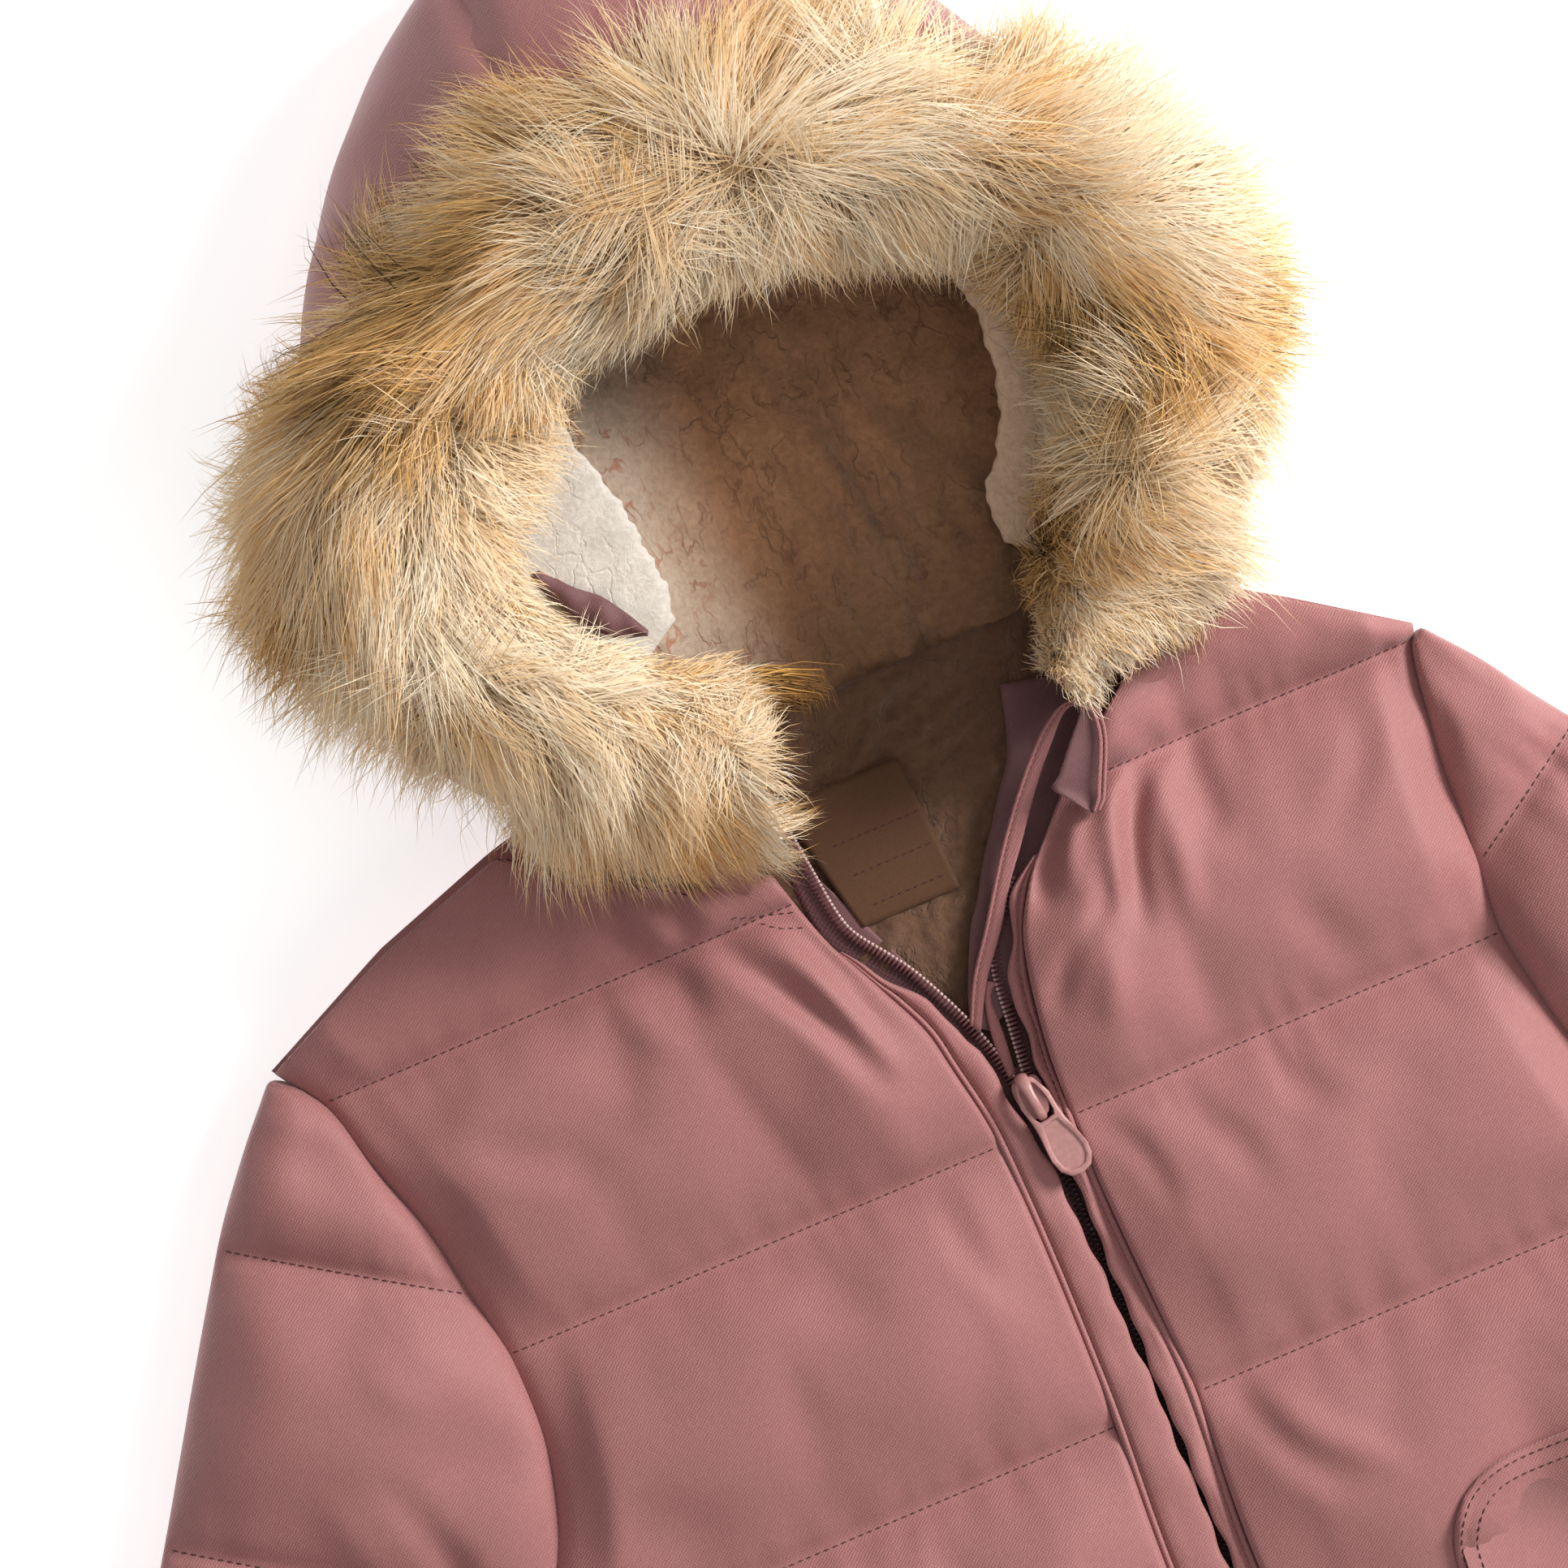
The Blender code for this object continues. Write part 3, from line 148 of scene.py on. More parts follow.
# ---- curves and noise ----------------------------------------------------------------------------
def curve_value(table, x, column=1):
    """A smooth curve through a table's rows, read at x in its first column."""
    last = len(table) - 1
    if x <= table[0][0]:
        return table[0][column]
    if x >= table[last][0]:
        return table[last][column]
    k = max(i for i in range(last) if table[i][0] <= x)

    def slope(i):
        low, high = max(i - 1, 0), min(i + 1, last)
        return (table[high][column] - table[low][column]) / (table[high][0] - table[low][0])

    span = table[k + 1][0] - table[k][0]
    f = (x - table[k][0]) / span
    return ((2 * f ** 3 - 3 * f ** 2 + 1) * table[k][column]
            + (f ** 3 - 2 * f ** 2 + f) * span * slope(k)
            + (3 * f ** 2 - 2 * f ** 3) * table[k + 1][column] + (f ** 3 - f ** 2) * span * slope(k + 1))


def path_point(points, fraction):
    steps = [math.dist(a, b) for a, b in zip(points, points[1:])]
    left = fraction * sum(steps)
    for start, end, step in zip(points, points[1:], steps):
        if left <= step or end is points[-1]:
            f = min(left / step, 1.0)
            return tuple(a + f * (b - a) for a, b in zip(start, end))
        left -= step
    return points[-1]


def smooth_path(points, count):
    keys = [(i, *p) for i, p in enumerate(points)]
    fine = [tuple(curve_value(keys, i * (len(points) - 1) / 90, c + 1) for c in range(len(points[0])))
            for i in range(91)]
    return [path_point(fine, i / (count - 1)) for i in range(count)]


def spaced_path(points, pitch):
    """Points at an even pitch along a smooth path, as an array."""
    fine = np.array(smooth_path(points, 240))
    steps = np.r_[0.0, np.cumsum(np.linalg.norm(np.diff(fine, axis=0), axis=1))]
    at = np.arange(pitch / 2, steps[-1], pitch)
    return np.stack([np.interp(at, steps, fine[:, c]) for c in range(fine.shape[1])], axis=1)


def ripple(points, wavelength, seed, waves=9):
    """Smooth noise of about unit size, from a sum of waves in seeded directions."""
    rng = np.random.default_rng(seed)
    points = np.asarray(points, float)
    way = rng.normal(size=(waves, points.shape[-1]))
    way /= np.linalg.norm(way, axis=1, keepdims=True)
    way *= (2 * math.pi / wavelength * rng.uniform(0.55, 1.5, waves))[:, None]
    return np.sin(points @ way.T + rng.uniform(0, 2 * math.pi, waves)).sum(-1) / math.sqrt(waves / 2)


def dome(f, power=0.6):
    return max(0.0, math.sin(math.pi * min(max(f, 0.0), 1.0))) ** power


def smoothstep(x, low, high):
    f = np.clip((np.asarray(x, float) - low) / (high - low), 0.0, 1.0)
    return f * f * (3 - 2 * f)


def crease_height(x, y, folds):
    """Height that a list of creases adds at plan points."""
    total = np.zeros(np.shape(x))
    for x0, y0, x1, y1, half, height in folds:
        length = math.dist((x0, y0), (x1, y1))
        f = ((x - x0) * (x1 - x0) + (y - y0) * (y1 - y0)) / length ** 2
        off = ((x - x0) * (y1 - y0) - (y - y0) * (x1 - x0)) / length
        off = off + 1.5 * np.sin(f * 5.0 + x0)
        inside = (f > 0.0) & (f < 1.0) & (np.abs(off) < half)
        total += np.where(inside, height * np.sin(math.pi * np.clip(f, 0, 1)) ** 0.7
                          * np.cos(math.pi * np.clip(off / half, -1, 1) / 2) ** 2, 0.0)
    return total


# ---- meshes --------------------------------------------------------------------------------------
def grid_quads(rows, cols, start=0, wrap=False):
    i, j = np.meshgrid(np.arange(rows - 1), np.arange(cols if wrap else cols - 1), indexing="ij")
    n = (j + 1) % cols
    quads = np.stack([i * cols + j, i * cols + n, (i + 1) * cols + n, (i + 1) * cols + j], -1)
    return quads.reshape(-1, 4) + start


def mesh_piece(name, points, faces, material, smooth=True, outward=True):
    """An object from points in mm and faces, given as a list or an array of equal faces."""
    mesh = bpy.data.meshes.new(name)
    points = np.asarray(points, float).reshape(-1, 3) * MM
    if isinstance(faces, np.ndarray):
        mesh.vertices.add(len(points))
        mesh.vertices.foreach_set("co", points.astype(np.float32).ravel())
        mesh.loops.add(faces.size)
        mesh.loops.foreach_set("vertex_index", faces.astype(np.int32).ravel())
        mesh.polygons.add(len(faces))
        mesh.polygons.foreach_set("loop_start", np.arange(len(faces), dtype=np.int32) * faces.shape[1])
        mesh.update(calc_edges=True)
    else:
        mesh.from_pydata(points.tolist(), [], [list(map(int, f)) for f in faces])
    mesh.validate()
    if outward:
        import bmesh
        bm = bmesh.new()
        bm.from_mesh(mesh)
        bmesh.ops.recalc_face_normals(bm, faces=bm.faces)
        bm.to_mesh(mesh)
        bm.free()
    if smooth:
        mesh.shade_smooth()
    mesh.materials.append(material)
    piece = bpy.data.objects.new(name, mesh)
    bpy.context.scene.collection.objects.link(piece)
    return piece


def rim_quads(rows, cols, upper, lower):
    """Faces that close two grids round their edge."""
    ring = ([(i, 0) for i in range(rows)] + [(rows - 1, j) for j in range(1, cols)]
            + [(i, cols - 1) for i in range(rows - 2, -1, -1)] + [(0, j) for j in range(cols - 2, 0, -1)])
    ids = np.array([i * cols + j for i, j in ring])
    after = np.roll(ids, -1)
    return np.stack([upper + ids, upper + after, lower + after, lower + ids], -1)


def layer_mesh(name, over, under, material):
    """A closed piece between an upper and a lower grid of the same size."""
    rows, cols = over.shape[:2]
    count = rows * cols
    points = np.concatenate([over.reshape(-1, 3), under.reshape(-1, 3)])
    quads = np.concatenate([grid_quads(rows, cols), grid_quads(rows, cols, count),
                            rim_quads(rows, cols, 0, count)])
    return mesh_piece(name, points, quads, material)


def subdivide(piece, levels=1):
    bpy.context.view_layer.update()
    change = piece.modifiers.new("subdivision", "SUBSURF")
    change.levels = change.render_levels = levels
    bake(piece)
    return piece


def bake(piece):
    """Apply the piece's modifiers."""
    graph = bpy.context.evaluated_depsgraph_get()
    mesh = bpy.data.meshes.new_from_object(piece.evaluated_get(graph))
    old = piece.data
    piece.modifiers.clear()
    piece.data = mesh
    bpy.data.meshes.remove(old)


def points_of(piece):
    co = np.empty(len(piece.data.vertices) * 3, np.float32)
    piece.data.vertices.foreach_get("co", co)
    return co.reshape(-1, 3).astype(float) / MM


def set_points(piece, points):
    piece.data.vertices.foreach_set("co", (np.asarray(points) * MM).astype(np.float32).ravel())
    piece.data.update()


def swell(points, quads, pinned, growth=0.035, pressure=3.0, cap=3.5, even=5):
    """Let pressure puff a closed padded form out between its pinned stitches."""
    scene = bpy.context.scene
    pad = mesh_piece("padding", points, quads, cloth)
    group = pad.vertex_groups.new(name="stitched")
    for weight in np.unique(np.round(pinned, 2)):
        if weight > 0:
            group.add(np.nonzero(np.abs(pinned - weight) < 0.005)[0].tolist(), float(weight), "REPLACE")
    soft = pad.modifiers.new("cloth", "CLOTH")
    feel = soft.settings
    feel.quality = 5
    feel.mass = 0.25
    feel.vertex_group_mass = "stitched"
    feel.pin_stiffness = 1.0
    feel.tension_stiffness = feel.compression_stiffness = 18.0
    feel.shear_stiffness = 6.0
    feel.bending_stiffness = 0.25
    feel.use_pressure = True
    feel.uniform_pressure_force = pressure
    feel.shrink_min = -growth
    feel.effector_weights.gravity = 0.0
    soft.collision_settings.use_collision = False
    soft.point_cache.frame_start, soft.point_cache.frame_end = 1, FRAMES
    for step in range(1, FRAMES + 1):
        scene.frame_set(step)
    graph = bpy.context.evaluated_depsgraph_get()
    shaped = pad.evaluated_get(graph).to_mesh()
    co = np.empty(len(shaped.vertices) * 3, np.float32)
    shaped.vertices.foreach_get("co", co)
    moved = co.reshape(-1, 3).astype(float) / MM - points
    bpy.data.objects.remove(pad, do_unlink=True)
    scene.frame_set(1)
    ends = np.array([(f[k], f[(k + 1) % len(f)]) for f in quads if len(f) < 5 for k in range(len(f))])
    share = np.bincount(ends.ravel(), minlength=len(points))[:, None] + 1e-6
    for _ in range(even):
        near = np.zeros_like(moved)
        np.add.at(near, ends[:, 0], moved[ends[:, 1]])
        np.add.at(near, ends[:, 1], moved[ends[:, 0]])
        moved = np.where(pinned[:, None] > 0.99, moved, moved * 0.4 + near / share * 0.6)
    size = np.linalg.norm(moved, axis=1, keepdims=True)
    return points + moved * np.minimum(1.0, cap / np.maximum(size, 1e-6))


def surface_tree(*pieces):
    """A tree over the pieces' meshes, in mm, to lay sewing on."""
    verts, polys = [], []
    for piece in pieces:
        start = len(verts)
        verts += [tuple(c) for c in points_of(piece)]
        polys += [[start + v for v in p.vertices] for p in piece.data.polygons]
    return BVHTree.FromPolygons(verts, polys)


def laid(tree, x, y, top=140.0, lift=0.0):
    """Point and normal of the surface seen from above at a plan point."""
    place, normal, _, _ = tree.ray_cast(Vector((x, y, top)), Vector((0, 0, -1)))
    if place is None:
        place, normal, _, _ = tree.find_nearest(Vector((x, y, 20.0)))
    if normal.z < 0:
        normal = -normal
    return place + normal * lift, normal


def sewing(name, runs, material, length=1.5, half=0.21):
    """Joined stitches: each run is a list of (place, along, normal)."""
    stations = ((-0.5, 0.45, -0.35), (0.0, 1.0, 0.3), (0.5, 0.45, -0.35))
    ring = ((1.0, -0.5), (0.0, 1.0), (-1.0, -0.5))
    verts, quads = [], []
    base_quads = grid_quads(3, 3, 0, True)
    for place, along, normal in (stitch for run in runs for stitch in run):
        along = along - normal * along.dot(normal)
        along.normalize()
        side = along.cross(normal)
        start = len(verts)
        for f, wide, up in stations:
            for a, b in ring:
                verts.append(place + along * f * length + side * a * wide * half
                             + normal * (b * wide * half * 0.8 + up * half))
        quads.append(base_quads + start)
    return mesh_piece(name, np.array([tuple(v) for v in verts]), np.concatenate(quads), material,
                      outward=False)


def stitch_run(tree, points, pitch=2.15, lift=0.08, below=False):
    """Stitches along a plan path, laid on a surface."""
    at = spaced_path(points, pitch)
    run = []
    for i, p in enumerate(at):
        before, after = at[max(i - 1, 0)], at[min(i + 1, len(at) - 1)]
        if below:
            place, normal, _, _ = tree.ray_cast(Vector((p[0], p[1], -30)), Vector((0, 0, 1)))
            if place is None:
                continue
            normal = normal if normal.z < 0 else -normal
            place = place + normal * lift
            place.z = max(place.z, 0.25)
        else:
            place, normal = laid(tree, p[0], p[1], lift=lift)
        run.append((place, Vector((after[0] - before[0], after[1] - before[1], 0.0)), normal))
    return run


# ---- materials -----------------------------------------------------------------------------------
def node_group(name, sockets_in, sockets_out):
    group = bpy.data.node_groups.new(name, "ShaderNodeTree")
    for kind, label, value in sockets_in:
        socket = group.interface.new_socket(label, in_out="INPUT", socket_type=kind)
        if value is not None:
            socket.default_value = value
    for kind, label in sockets_out:
        group.interface.new_socket(label, in_out="OUTPUT", socket_type=kind)
    return group, group.nodes.new("NodeGroupInput"), group.nodes.new("NodeGroupOutput")


def wired(tree, kind, links=(), **settings):
    """Add a node, set its properties and inputs, and link its inputs."""
    node = tree.nodes.new(kind)
    for key, value in settings.items():
        if key.startswith("in_"):
            node.inputs[int(key[3:])].default_value = value
        else:
            setattr(node, key, value)
    for where, source in links:
        tree.links.new(source, node.inputs[where])
    return node


def sums(tree, operation, a, b):
    """A Math node over two sources or numbers."""
    node = tree.nodes.new("ShaderNodeMath")
    node.operation = operation
    for i, value in enumerate((a, b)):
        if isinstance(value, (int, float)):
            node.inputs[i].default_value = value
        else:
            tree.links.new(value, node.inputs[i])
    return node.outputs[0]


def ramp(tree, source, stops):
    node = tree.nodes.new("ShaderNodeValToRGB")
    tree.links.new(source, node.inputs[0])
    marks = node.color_ramp.elements
    while len(marks) < len(stops):
        marks.new(0.5)
    for mark, (place, colour) in zip(marks, stops):
        mark.position = place
        mark.color = (*colour, 1.0) if len(colour) == 3 else colour
    return node.outputs[0]


def tint(tree, amount, a, b, mode="MIX"):
    node = tree.nodes.new("ShaderNodeMix")
    node.data_type = "RGBA"
    node.blend_type = mode
    for where, value in ((0, amount), (6, a), (7, b)):
        if isinstance(value, (int, float)):
            node.inputs[where].default_value = value
        elif isinstance(value, tuple):
            node.inputs[where].default_value = (*value, 1.0)
        else:
            tree.links.new(value, node.inputs[where])
    return node.outputs[2]


def make_twill_group():
    """Fine slanted yarns, with uneven dye and rubbed high spots."""
    group, start, end = node_group(
        "twill_weave", [("NodeSocketFloat", "Yarn", 0.62), ("NodeSocketFloat", "Mottle", 1.0)],
        [("NodeSocketFloat", "Height"), ("NodeSocketFloat", "Shade"), ("NodeSocketFloat", "Rub")])
    coords = wired(group, "ShaderNodeTexCoord").outputs["Object"]
    turned = wired(group, "ShaderNodeMapping", [(0, coords)])
    turned.inputs["Rotation"].default_value = (0.0, 0.0, math.radians(52))
    scale = sums(group, "DIVIDE", 314.0, start.outputs[0])
    yarn = wired(group, "ShaderNodeTexWave", [("Vector", turned.outputs[0]), ("Scale", scale)],
                 bands_direction="X")
    yarn.inputs["Distortion"].default_value = 2.6
    yarn.inputs["Detail"].default_value = 0.0
    yarn.inputs["Detail Scale"].default_value = 1.5
    cross = wired(group, "ShaderNodeTexWave", [("Vector", turned.outputs[0]), ("Scale", scale)],
                  bands_direction="Y")
    cross.inputs["Distortion"].default_value = 3.2
    cross.inputs["Detail"].default_value = 0.0
    slub = wired(group, "ShaderNodeTexNoise", [("Vector", coords)])
    slub.inputs["Scale"].default_value = 900.0
    slub.inputs["Detail"].default_value = 1.0
    height = sums(group, "ADD", sums(group, "MULTIPLY", yarn.outputs["Fac"], 0.6),
                  sums(group, "MULTIPLY", cross.outputs["Fac"], 0.25))
    height = sums(group, "ADD", height, sums(group, "MULTIPLY", slub.outputs["Fac"], 0.5))
    group.links.new(height, end.inputs["Height"])
    cloud = wired(group, "ShaderNodeTexNoise", [("Vector", coords)])
    cloud.inputs["Scale"].default_value = 38.0
    cloud.inputs["Detail"].default_value = 3.0
    cloud.inputs["Roughness"].default_value = 0.6
    shade = sums(group, "ADD", sums(group, "MULTIPLY", sums(group, "SUBTRACT", cloud.outputs["Fac"], 0.5), 0.22),
                 sums(group, "MULTIPLY", sums(group, "SUBTRACT", height, 0.68), 0.55))
    shade = sums(group, "ADD", sums(group, "MULTIPLY", shade, start.outputs["Mottle"]), 0.5)
    group.links.new(shade, end.inputs["Shade"])
    fleck = wired(group, "ShaderNodeTexNoise", [("Vector", coords)])
    fleck.inputs["Scale"].default_value = 140.0
    fleck.inputs["Detail"].default_value = 2.0
    group.links.new(ramp(group, fleck.outputs["Fac"], [(0.62, (0, 0, 0)), (0.75, (1, 1, 1))]),
                    end.inputs["Rub"])
    return group


def make_pile_group():
    """Short curled pile with thin partings that show the backing."""
    group, start, end = node_group(
        "curled_pile", [("NodeSocketFloat", "Curl", 260.0), ("NodeSocketFloat", "Parting", 115.0)],
        [("NodeSocketFloat", "Height"), ("NodeSocketFloat", "Crack"), ("NodeSocketFloat", "Shade")])
    coords = wired(group, "ShaderNodeTexCoord").outputs["Object"]
    warp = wired(group, "ShaderNodeTexNoise", [("Vector", coords)])
    warp.inputs["Scale"].default_value = 170.0
    warp.inputs["Detail"].default_value = 3.0
    bent = wired(group, "ShaderNodeMix", [(4, coords), (5, warp.outputs["Color"])], data_type="VECTOR")
    bent.inputs[0].default_value = 0.005
    drawn = wired(group, "ShaderNodeMapping", [(0, bent.outputs[1])])
    drawn.inputs["Scale"].default_value = (1.0, 0.5, 1.0)
    lines = wired(group, "ShaderNodeTexNoise", [("Vector", drawn.outputs[0]), ("Scale", start.outputs["Parting"])])
    lines.inputs["Detail"].default_value = 4.0
    lines.inputs["Roughness"].default_value = 0.45
    middle = sums(group, "ABSOLUTE", sums(group, "SUBTRACT", lines.outputs["Fac"], 0.5), 0.0)
    crack = ramp(group, middle, [(0.0, (1, 1, 1)), (0.010, (0.7, 0.7, 0.7)), (0.032, (0, 0, 0))])
    patchy = wired(group, "ShaderNodeTexNoise", [("Vector", coords)])
    patchy.inputs["Scale"].default_value = 75.0
    some = ramp(group, patchy.outputs["Fac"], [(0.40, (0, 0, 0)), (0.56, (1, 1, 1))])
    crack = sums(group, "MULTIPLY", crack, some)
    curl = wired(group, "ShaderNodeTexNoise", [("Vector", bent.outputs[1]), ("Scale", start.outputs["Curl"])])
    curl.inputs["Detail"].default_value = 6.0
    curl.inputs["Roughness"].default_value = 0.72
    lump = wired(group, "ShaderNodeTexVoronoi", [("Vector", bent.outputs[1])], feature="F1")
    lump.inputs["Scale"].default_value = 560.0
    height = sums(group, "SUBTRACT", sums(group, "ADD", curl.outputs["Fac"],
                                          sums(group, "MULTIPLY", lump.outputs[0], -0.35)),
                  sums(group, "MULTIPLY", crack, 0.7))
    group.links.new(height, end.inputs["Height"])
    group.links.new(crack, end.inputs["Crack"])
    group.links.new(curl.outputs["Fac"], end.inputs["Shade"])
    return group


def material_base(name, roughness, **constants):
    material = bpy.data.materials.new(name)
    material.use_nodes = True
    shader = material.node_tree.nodes["Principled BSDF"]
    shader.inputs["Roughness"].default_value = roughness
    for key, value in constants.items():
        shader.inputs[key.replace("_", " ")].default_value = value
    return material, material.node_tree, shader


def add_bump(tree, shader, height, strength, distance):
    bump = wired(tree, "ShaderNodeBump", [("Height", height)])
    bump.inputs["Strength"].default_value = strength
    bump.inputs["Distance"].default_value = distance
    tree.links.new(bump.outputs[0], shader.inputs["Normal"])


def cloth_material(name, dark, light, rough=(0.50, 0.68), yarn=0.62, sheen=0.35):
    """Twill cloth between two tones of one colour."""
    material, tree, shader = material_base(name, 0.5)
    shader.inputs["Sheen Weight"].default_value = sheen
    shader.inputs["Sheen Roughness"].default_value = 0.45
    shader.inputs["Sheen Tint"].default_value = (1.0, 0.88, 0.92, 1.0)
    shader.inputs["Specular IOR Level"].default_value = 0.36
    weave = wired(tree, "ShaderNodeGroup", node_tree=twill)
    weave.inputs["Yarn"].default_value = yarn
    colour = ramp(tree, weave.outputs["Shade"], [(0.32, dark), (0.68, light)])
    worn = tint(tree, sums(tree, "MULTIPLY", weave.outputs["Rub"], 0.10), colour,
                tuple(min(1.0, c * 1.25) for c in light))
    tree.links.new(worn, shader.inputs["Base Color"])
    rough_mix = sums(tree, "ADD", sums(tree, "MULTIPLY", weave.outputs["Shade"], rough[1] - rough[0]), rough[0])
    tree.links.new(rough_mix, shader.inputs["Roughness"])
    add_bump(tree, shader, weave.outputs["Height"], 0.6, 0.00014)
    return material


def pile_material(name, dark, light, parting, curl=260.0, cracks=115.0, depth=0.85, wall=None, bump=0.7):
    """Sherpa between two tones, its partings showing the backing's colour.

    wall gives the paler tones of the pile that stands up on the hood's right wall: painted light, against the painted
    shade of the brown floor tones, which are also halved near the neck seam as painted shade."""
    material, tree, shader = material_base(name, 0.92)
    shader.inputs["Sheen Weight"].default_value = 0.35
    shader.inputs["Sheen Roughness"].default_value = 0.6
    shader.inputs["Sheen Tint"].default_value = (1.0, 0.93, 0.84, 1.0)
    shader.inputs["Specular IOR Level"].default_value = 0.2
    pile_node = wired(tree, "ShaderNodeGroup", node_tree=pile)
    pile_node.inputs["Curl"].default_value = curl
    pile_node.inputs["Parting"].default_value = cracks
    colour = ramp(tree, pile_node.outputs["Shade"], [(0.30, dark), (0.62, light)])
    mark = sums(tree, "MULTIPLY", pile_node.outputs["Crack"], depth)
    if wall:
        coords = wired(tree, "ShaderNodeTexCoord").outputs["Object"]
        axes = wired(tree, "ShaderNodeSeparateXYZ", [(0, coords)])
        across = axes.outputs[0]
        # Painted shade: the tones are halved near the neck seam.
        painted_shade_near_neck = ramp(tree, sums(tree, "MULTIPLY", sums(tree, "SUBTRACT", axes.outputs[1], 0.09), 10.0),
                         [(0.10, (1, 1, 1)), (0.62, (0, 0, 0))])
        colour = tint(tree, painted_shade_near_neck, colour,
                      ramp(tree, pile_node.outputs["Shade"],
                           [(0.30, [0.5 * v for v in dark]), (0.62, [0.5 * v for v in light])]))
        # Painted light: the paler wall tones take over where x falls below about -24 mm, with a drifting edge.
        drift = wired(tree, "ShaderNodeTexNoise", [("Vector", coords)])
        drift.inputs["Scale"].default_value = 45.0
        across = sums(tree, "ADD", across, sums(tree, "MULTIPLY", drift.outputs["Fac"], 0.010))
        painted_lit_wall = ramp(tree, sums(tree, "ADD", sums(tree, "MULTIPLY", across, 10.0), 0.5),
                       [(0.26, (1, 1, 1)), (0.44, (0, 0, 0))])
        colour = tint(tree, painted_lit_wall, colour,
                      ramp(tree, pile_node.outputs["Shade"], [(0.30, wall[0]), (0.62, wall[1])]))
        parting = tint(tree, painted_lit_wall, parting, wall[2])
        mark = sums(tree, "MULTIPLY", pile_node.outputs["Crack"],
                    sums(tree, "ADD", sums(tree, "MULTIPLY", painted_lit_wall, 0.9 - depth), depth))
    tree.links.new(tint(tree, mark, colour, parting), shader.inputs["Base Color"])
    add_bump(tree, shader, pile_node.outputs["Height"], bump, 0.0008)
    return material


def hair_material(name):
    """Fur: colour runs along each hair (U), from cream over gold to dark brown locks (V); the dark brown is partly
    the fur's own, partly painted shade in its hollows.
    """
    material, tree, shader = material_base(name, 0.7)
    shader.inputs["Specular IOR Level"].default_value = 0.2
    place = wired(tree, "ShaderNodeUVMap", uv_map="hair")
    parts = wired(tree, "ShaderNodeSeparateXYZ", [(0, place.outputs[0])])
    pale = ramp(tree, parts.outputs[0], [(0.0, (0.66, 0.46, 0.25)), (0.28, (0.88, 0.76, 0.57)),
                                        (0.62, (0.93, 0.84, 0.67)), (0.80, (0.80, 0.53, 0.23)),
                                        (0.90, (0.24, 0.12, 0.045)), (1.0, (0.040, 0.023, 0.014))])
    warm = ramp(tree, parts.outputs[0], [(0.0, (0.52, 0.27, 0.085)), (0.30, (0.86, 0.53, 0.20)),
                                        (0.60, (0.84, 0.46, 0.125)), (0.78, (0.56, 0.26, 0.06)),
                                        (0.89, (0.14, 0.065, 0.02)), (1.0, (0.026, 0.015, 0.010))])
    amount = ramp(tree, parts.outputs[1], [(0.0, (0, 0, 0)), (0.7, (1, 1, 1))])
    dark_lock_and_shade = ramp(tree, parts.outputs[1], [(0.70, (0, 0, 0)), (1.0, (1, 1, 1))])
    colour = tint(tree, dark_lock_and_shade, tint(tree, amount, pale, warm), (0.10, 0.050, 0.022))
    tree.links.new(colour, shader.inputs["Base Color"])
    return material


def undercoat_material():
    material, tree, shader = material_base("fur_undercoat", 0.95)
    coords = wired(tree, "ShaderNodeTexCoord").outputs["Object"]
    streak = wired(tree, "ShaderNodeTexNoise", [("Vector", coords)])
    streak.inputs["Scale"].default_value = 220.0
    streak.inputs["Detail"].default_value = 5.0
    tree.links.new(ramp(tree, streak.outputs["Fac"], [(0.35, (0.40, 0.24, 0.10)), (0.65, (0.70, 0.50, 0.27))]),
                   shader.inputs["Base Color"])
    add_bump(tree, shader, streak.outputs["Fac"], 0.6, 0.001)
    return material


def thread_material():
    material, tree, shader = material_base("plum_thread", 0.6)
    coords = wired(tree, "ShaderNodeTexCoord").outputs["Object"]
    twist = wired(tree, "ShaderNodeTexNoise", [("Vector", coords)])
    twist.inputs["Scale"].default_value = 1800.0
    tree.links.new(ramp(tree, twist.outputs["Fac"], [(0.3, (0.050, 0.016, 0.018)), (0.7, (0.115, 0.042, 0.045))]),
                   shader.inputs["Base Color"])
    add_bump(tree, shader, twist.outputs["Fac"], 0.3, 0.0001)
    return material


def paint_material(name, dark, light, roughness):
    """Enamel over metal: a little orange peel, and paler where it is rubbed."""
    material, tree, shader = material_base(name, roughness)
    shader.inputs["Coat Roughness"].default_value = 0.25
    shader.inputs["Coat Weight"].default_value = 0.25
    coords = wired(tree, "ShaderNodeTexCoord").outputs["Object"]
    peel = wired(tree, "ShaderNodeTexNoise", [("Vector", coords)])
    peel.inputs["Scale"].default_value = 700.0
    peel.inputs["Detail"].default_value = 3.0
    scuff = wired(tree, "ShaderNodeTexNoise", [("Vector", coords)])
    scuff.inputs["Scale"].default_value = 260.0
    scuff.inputs["Detail"].default_value = 6.0
    colour = ramp(tree, peel.outputs["Fac"], [(0.3, dark), (0.7, light)])
    rubbed = ramp(tree, scuff.outputs["Fac"], [(0.6, (0, 0, 0)), (0.72, (1, 1, 1))])
    tree.links.new(tint(tree, sums(tree, "MULTIPLY", rubbed, 0.18), colour, (0.62, 0.42, 0.40)),
                   shader.inputs["Base Color"])
    tree.links.new(sums(tree, "ADD", sums(tree, "MULTIPLY", scuff.outputs["Fac"], 0.2), roughness - 0.1),
                   shader.inputs["Roughness"])
    add_bump(tree, shader, peel.outputs["Fac"], 0.12, 0.0001)
    return material


def floor_material():
    material, _, shader = material_base("paper_floor", 0.9)
    shader.inputs["Base Color"].default_value = (0.95, 0.95, 0.95, 1.0)
    shader.inputs["Emission Color"].default_value = (1.0, 1.0, 1.0, 1.0)
    shader.inputs["Emission Strength"].default_value = 0.62
    return material


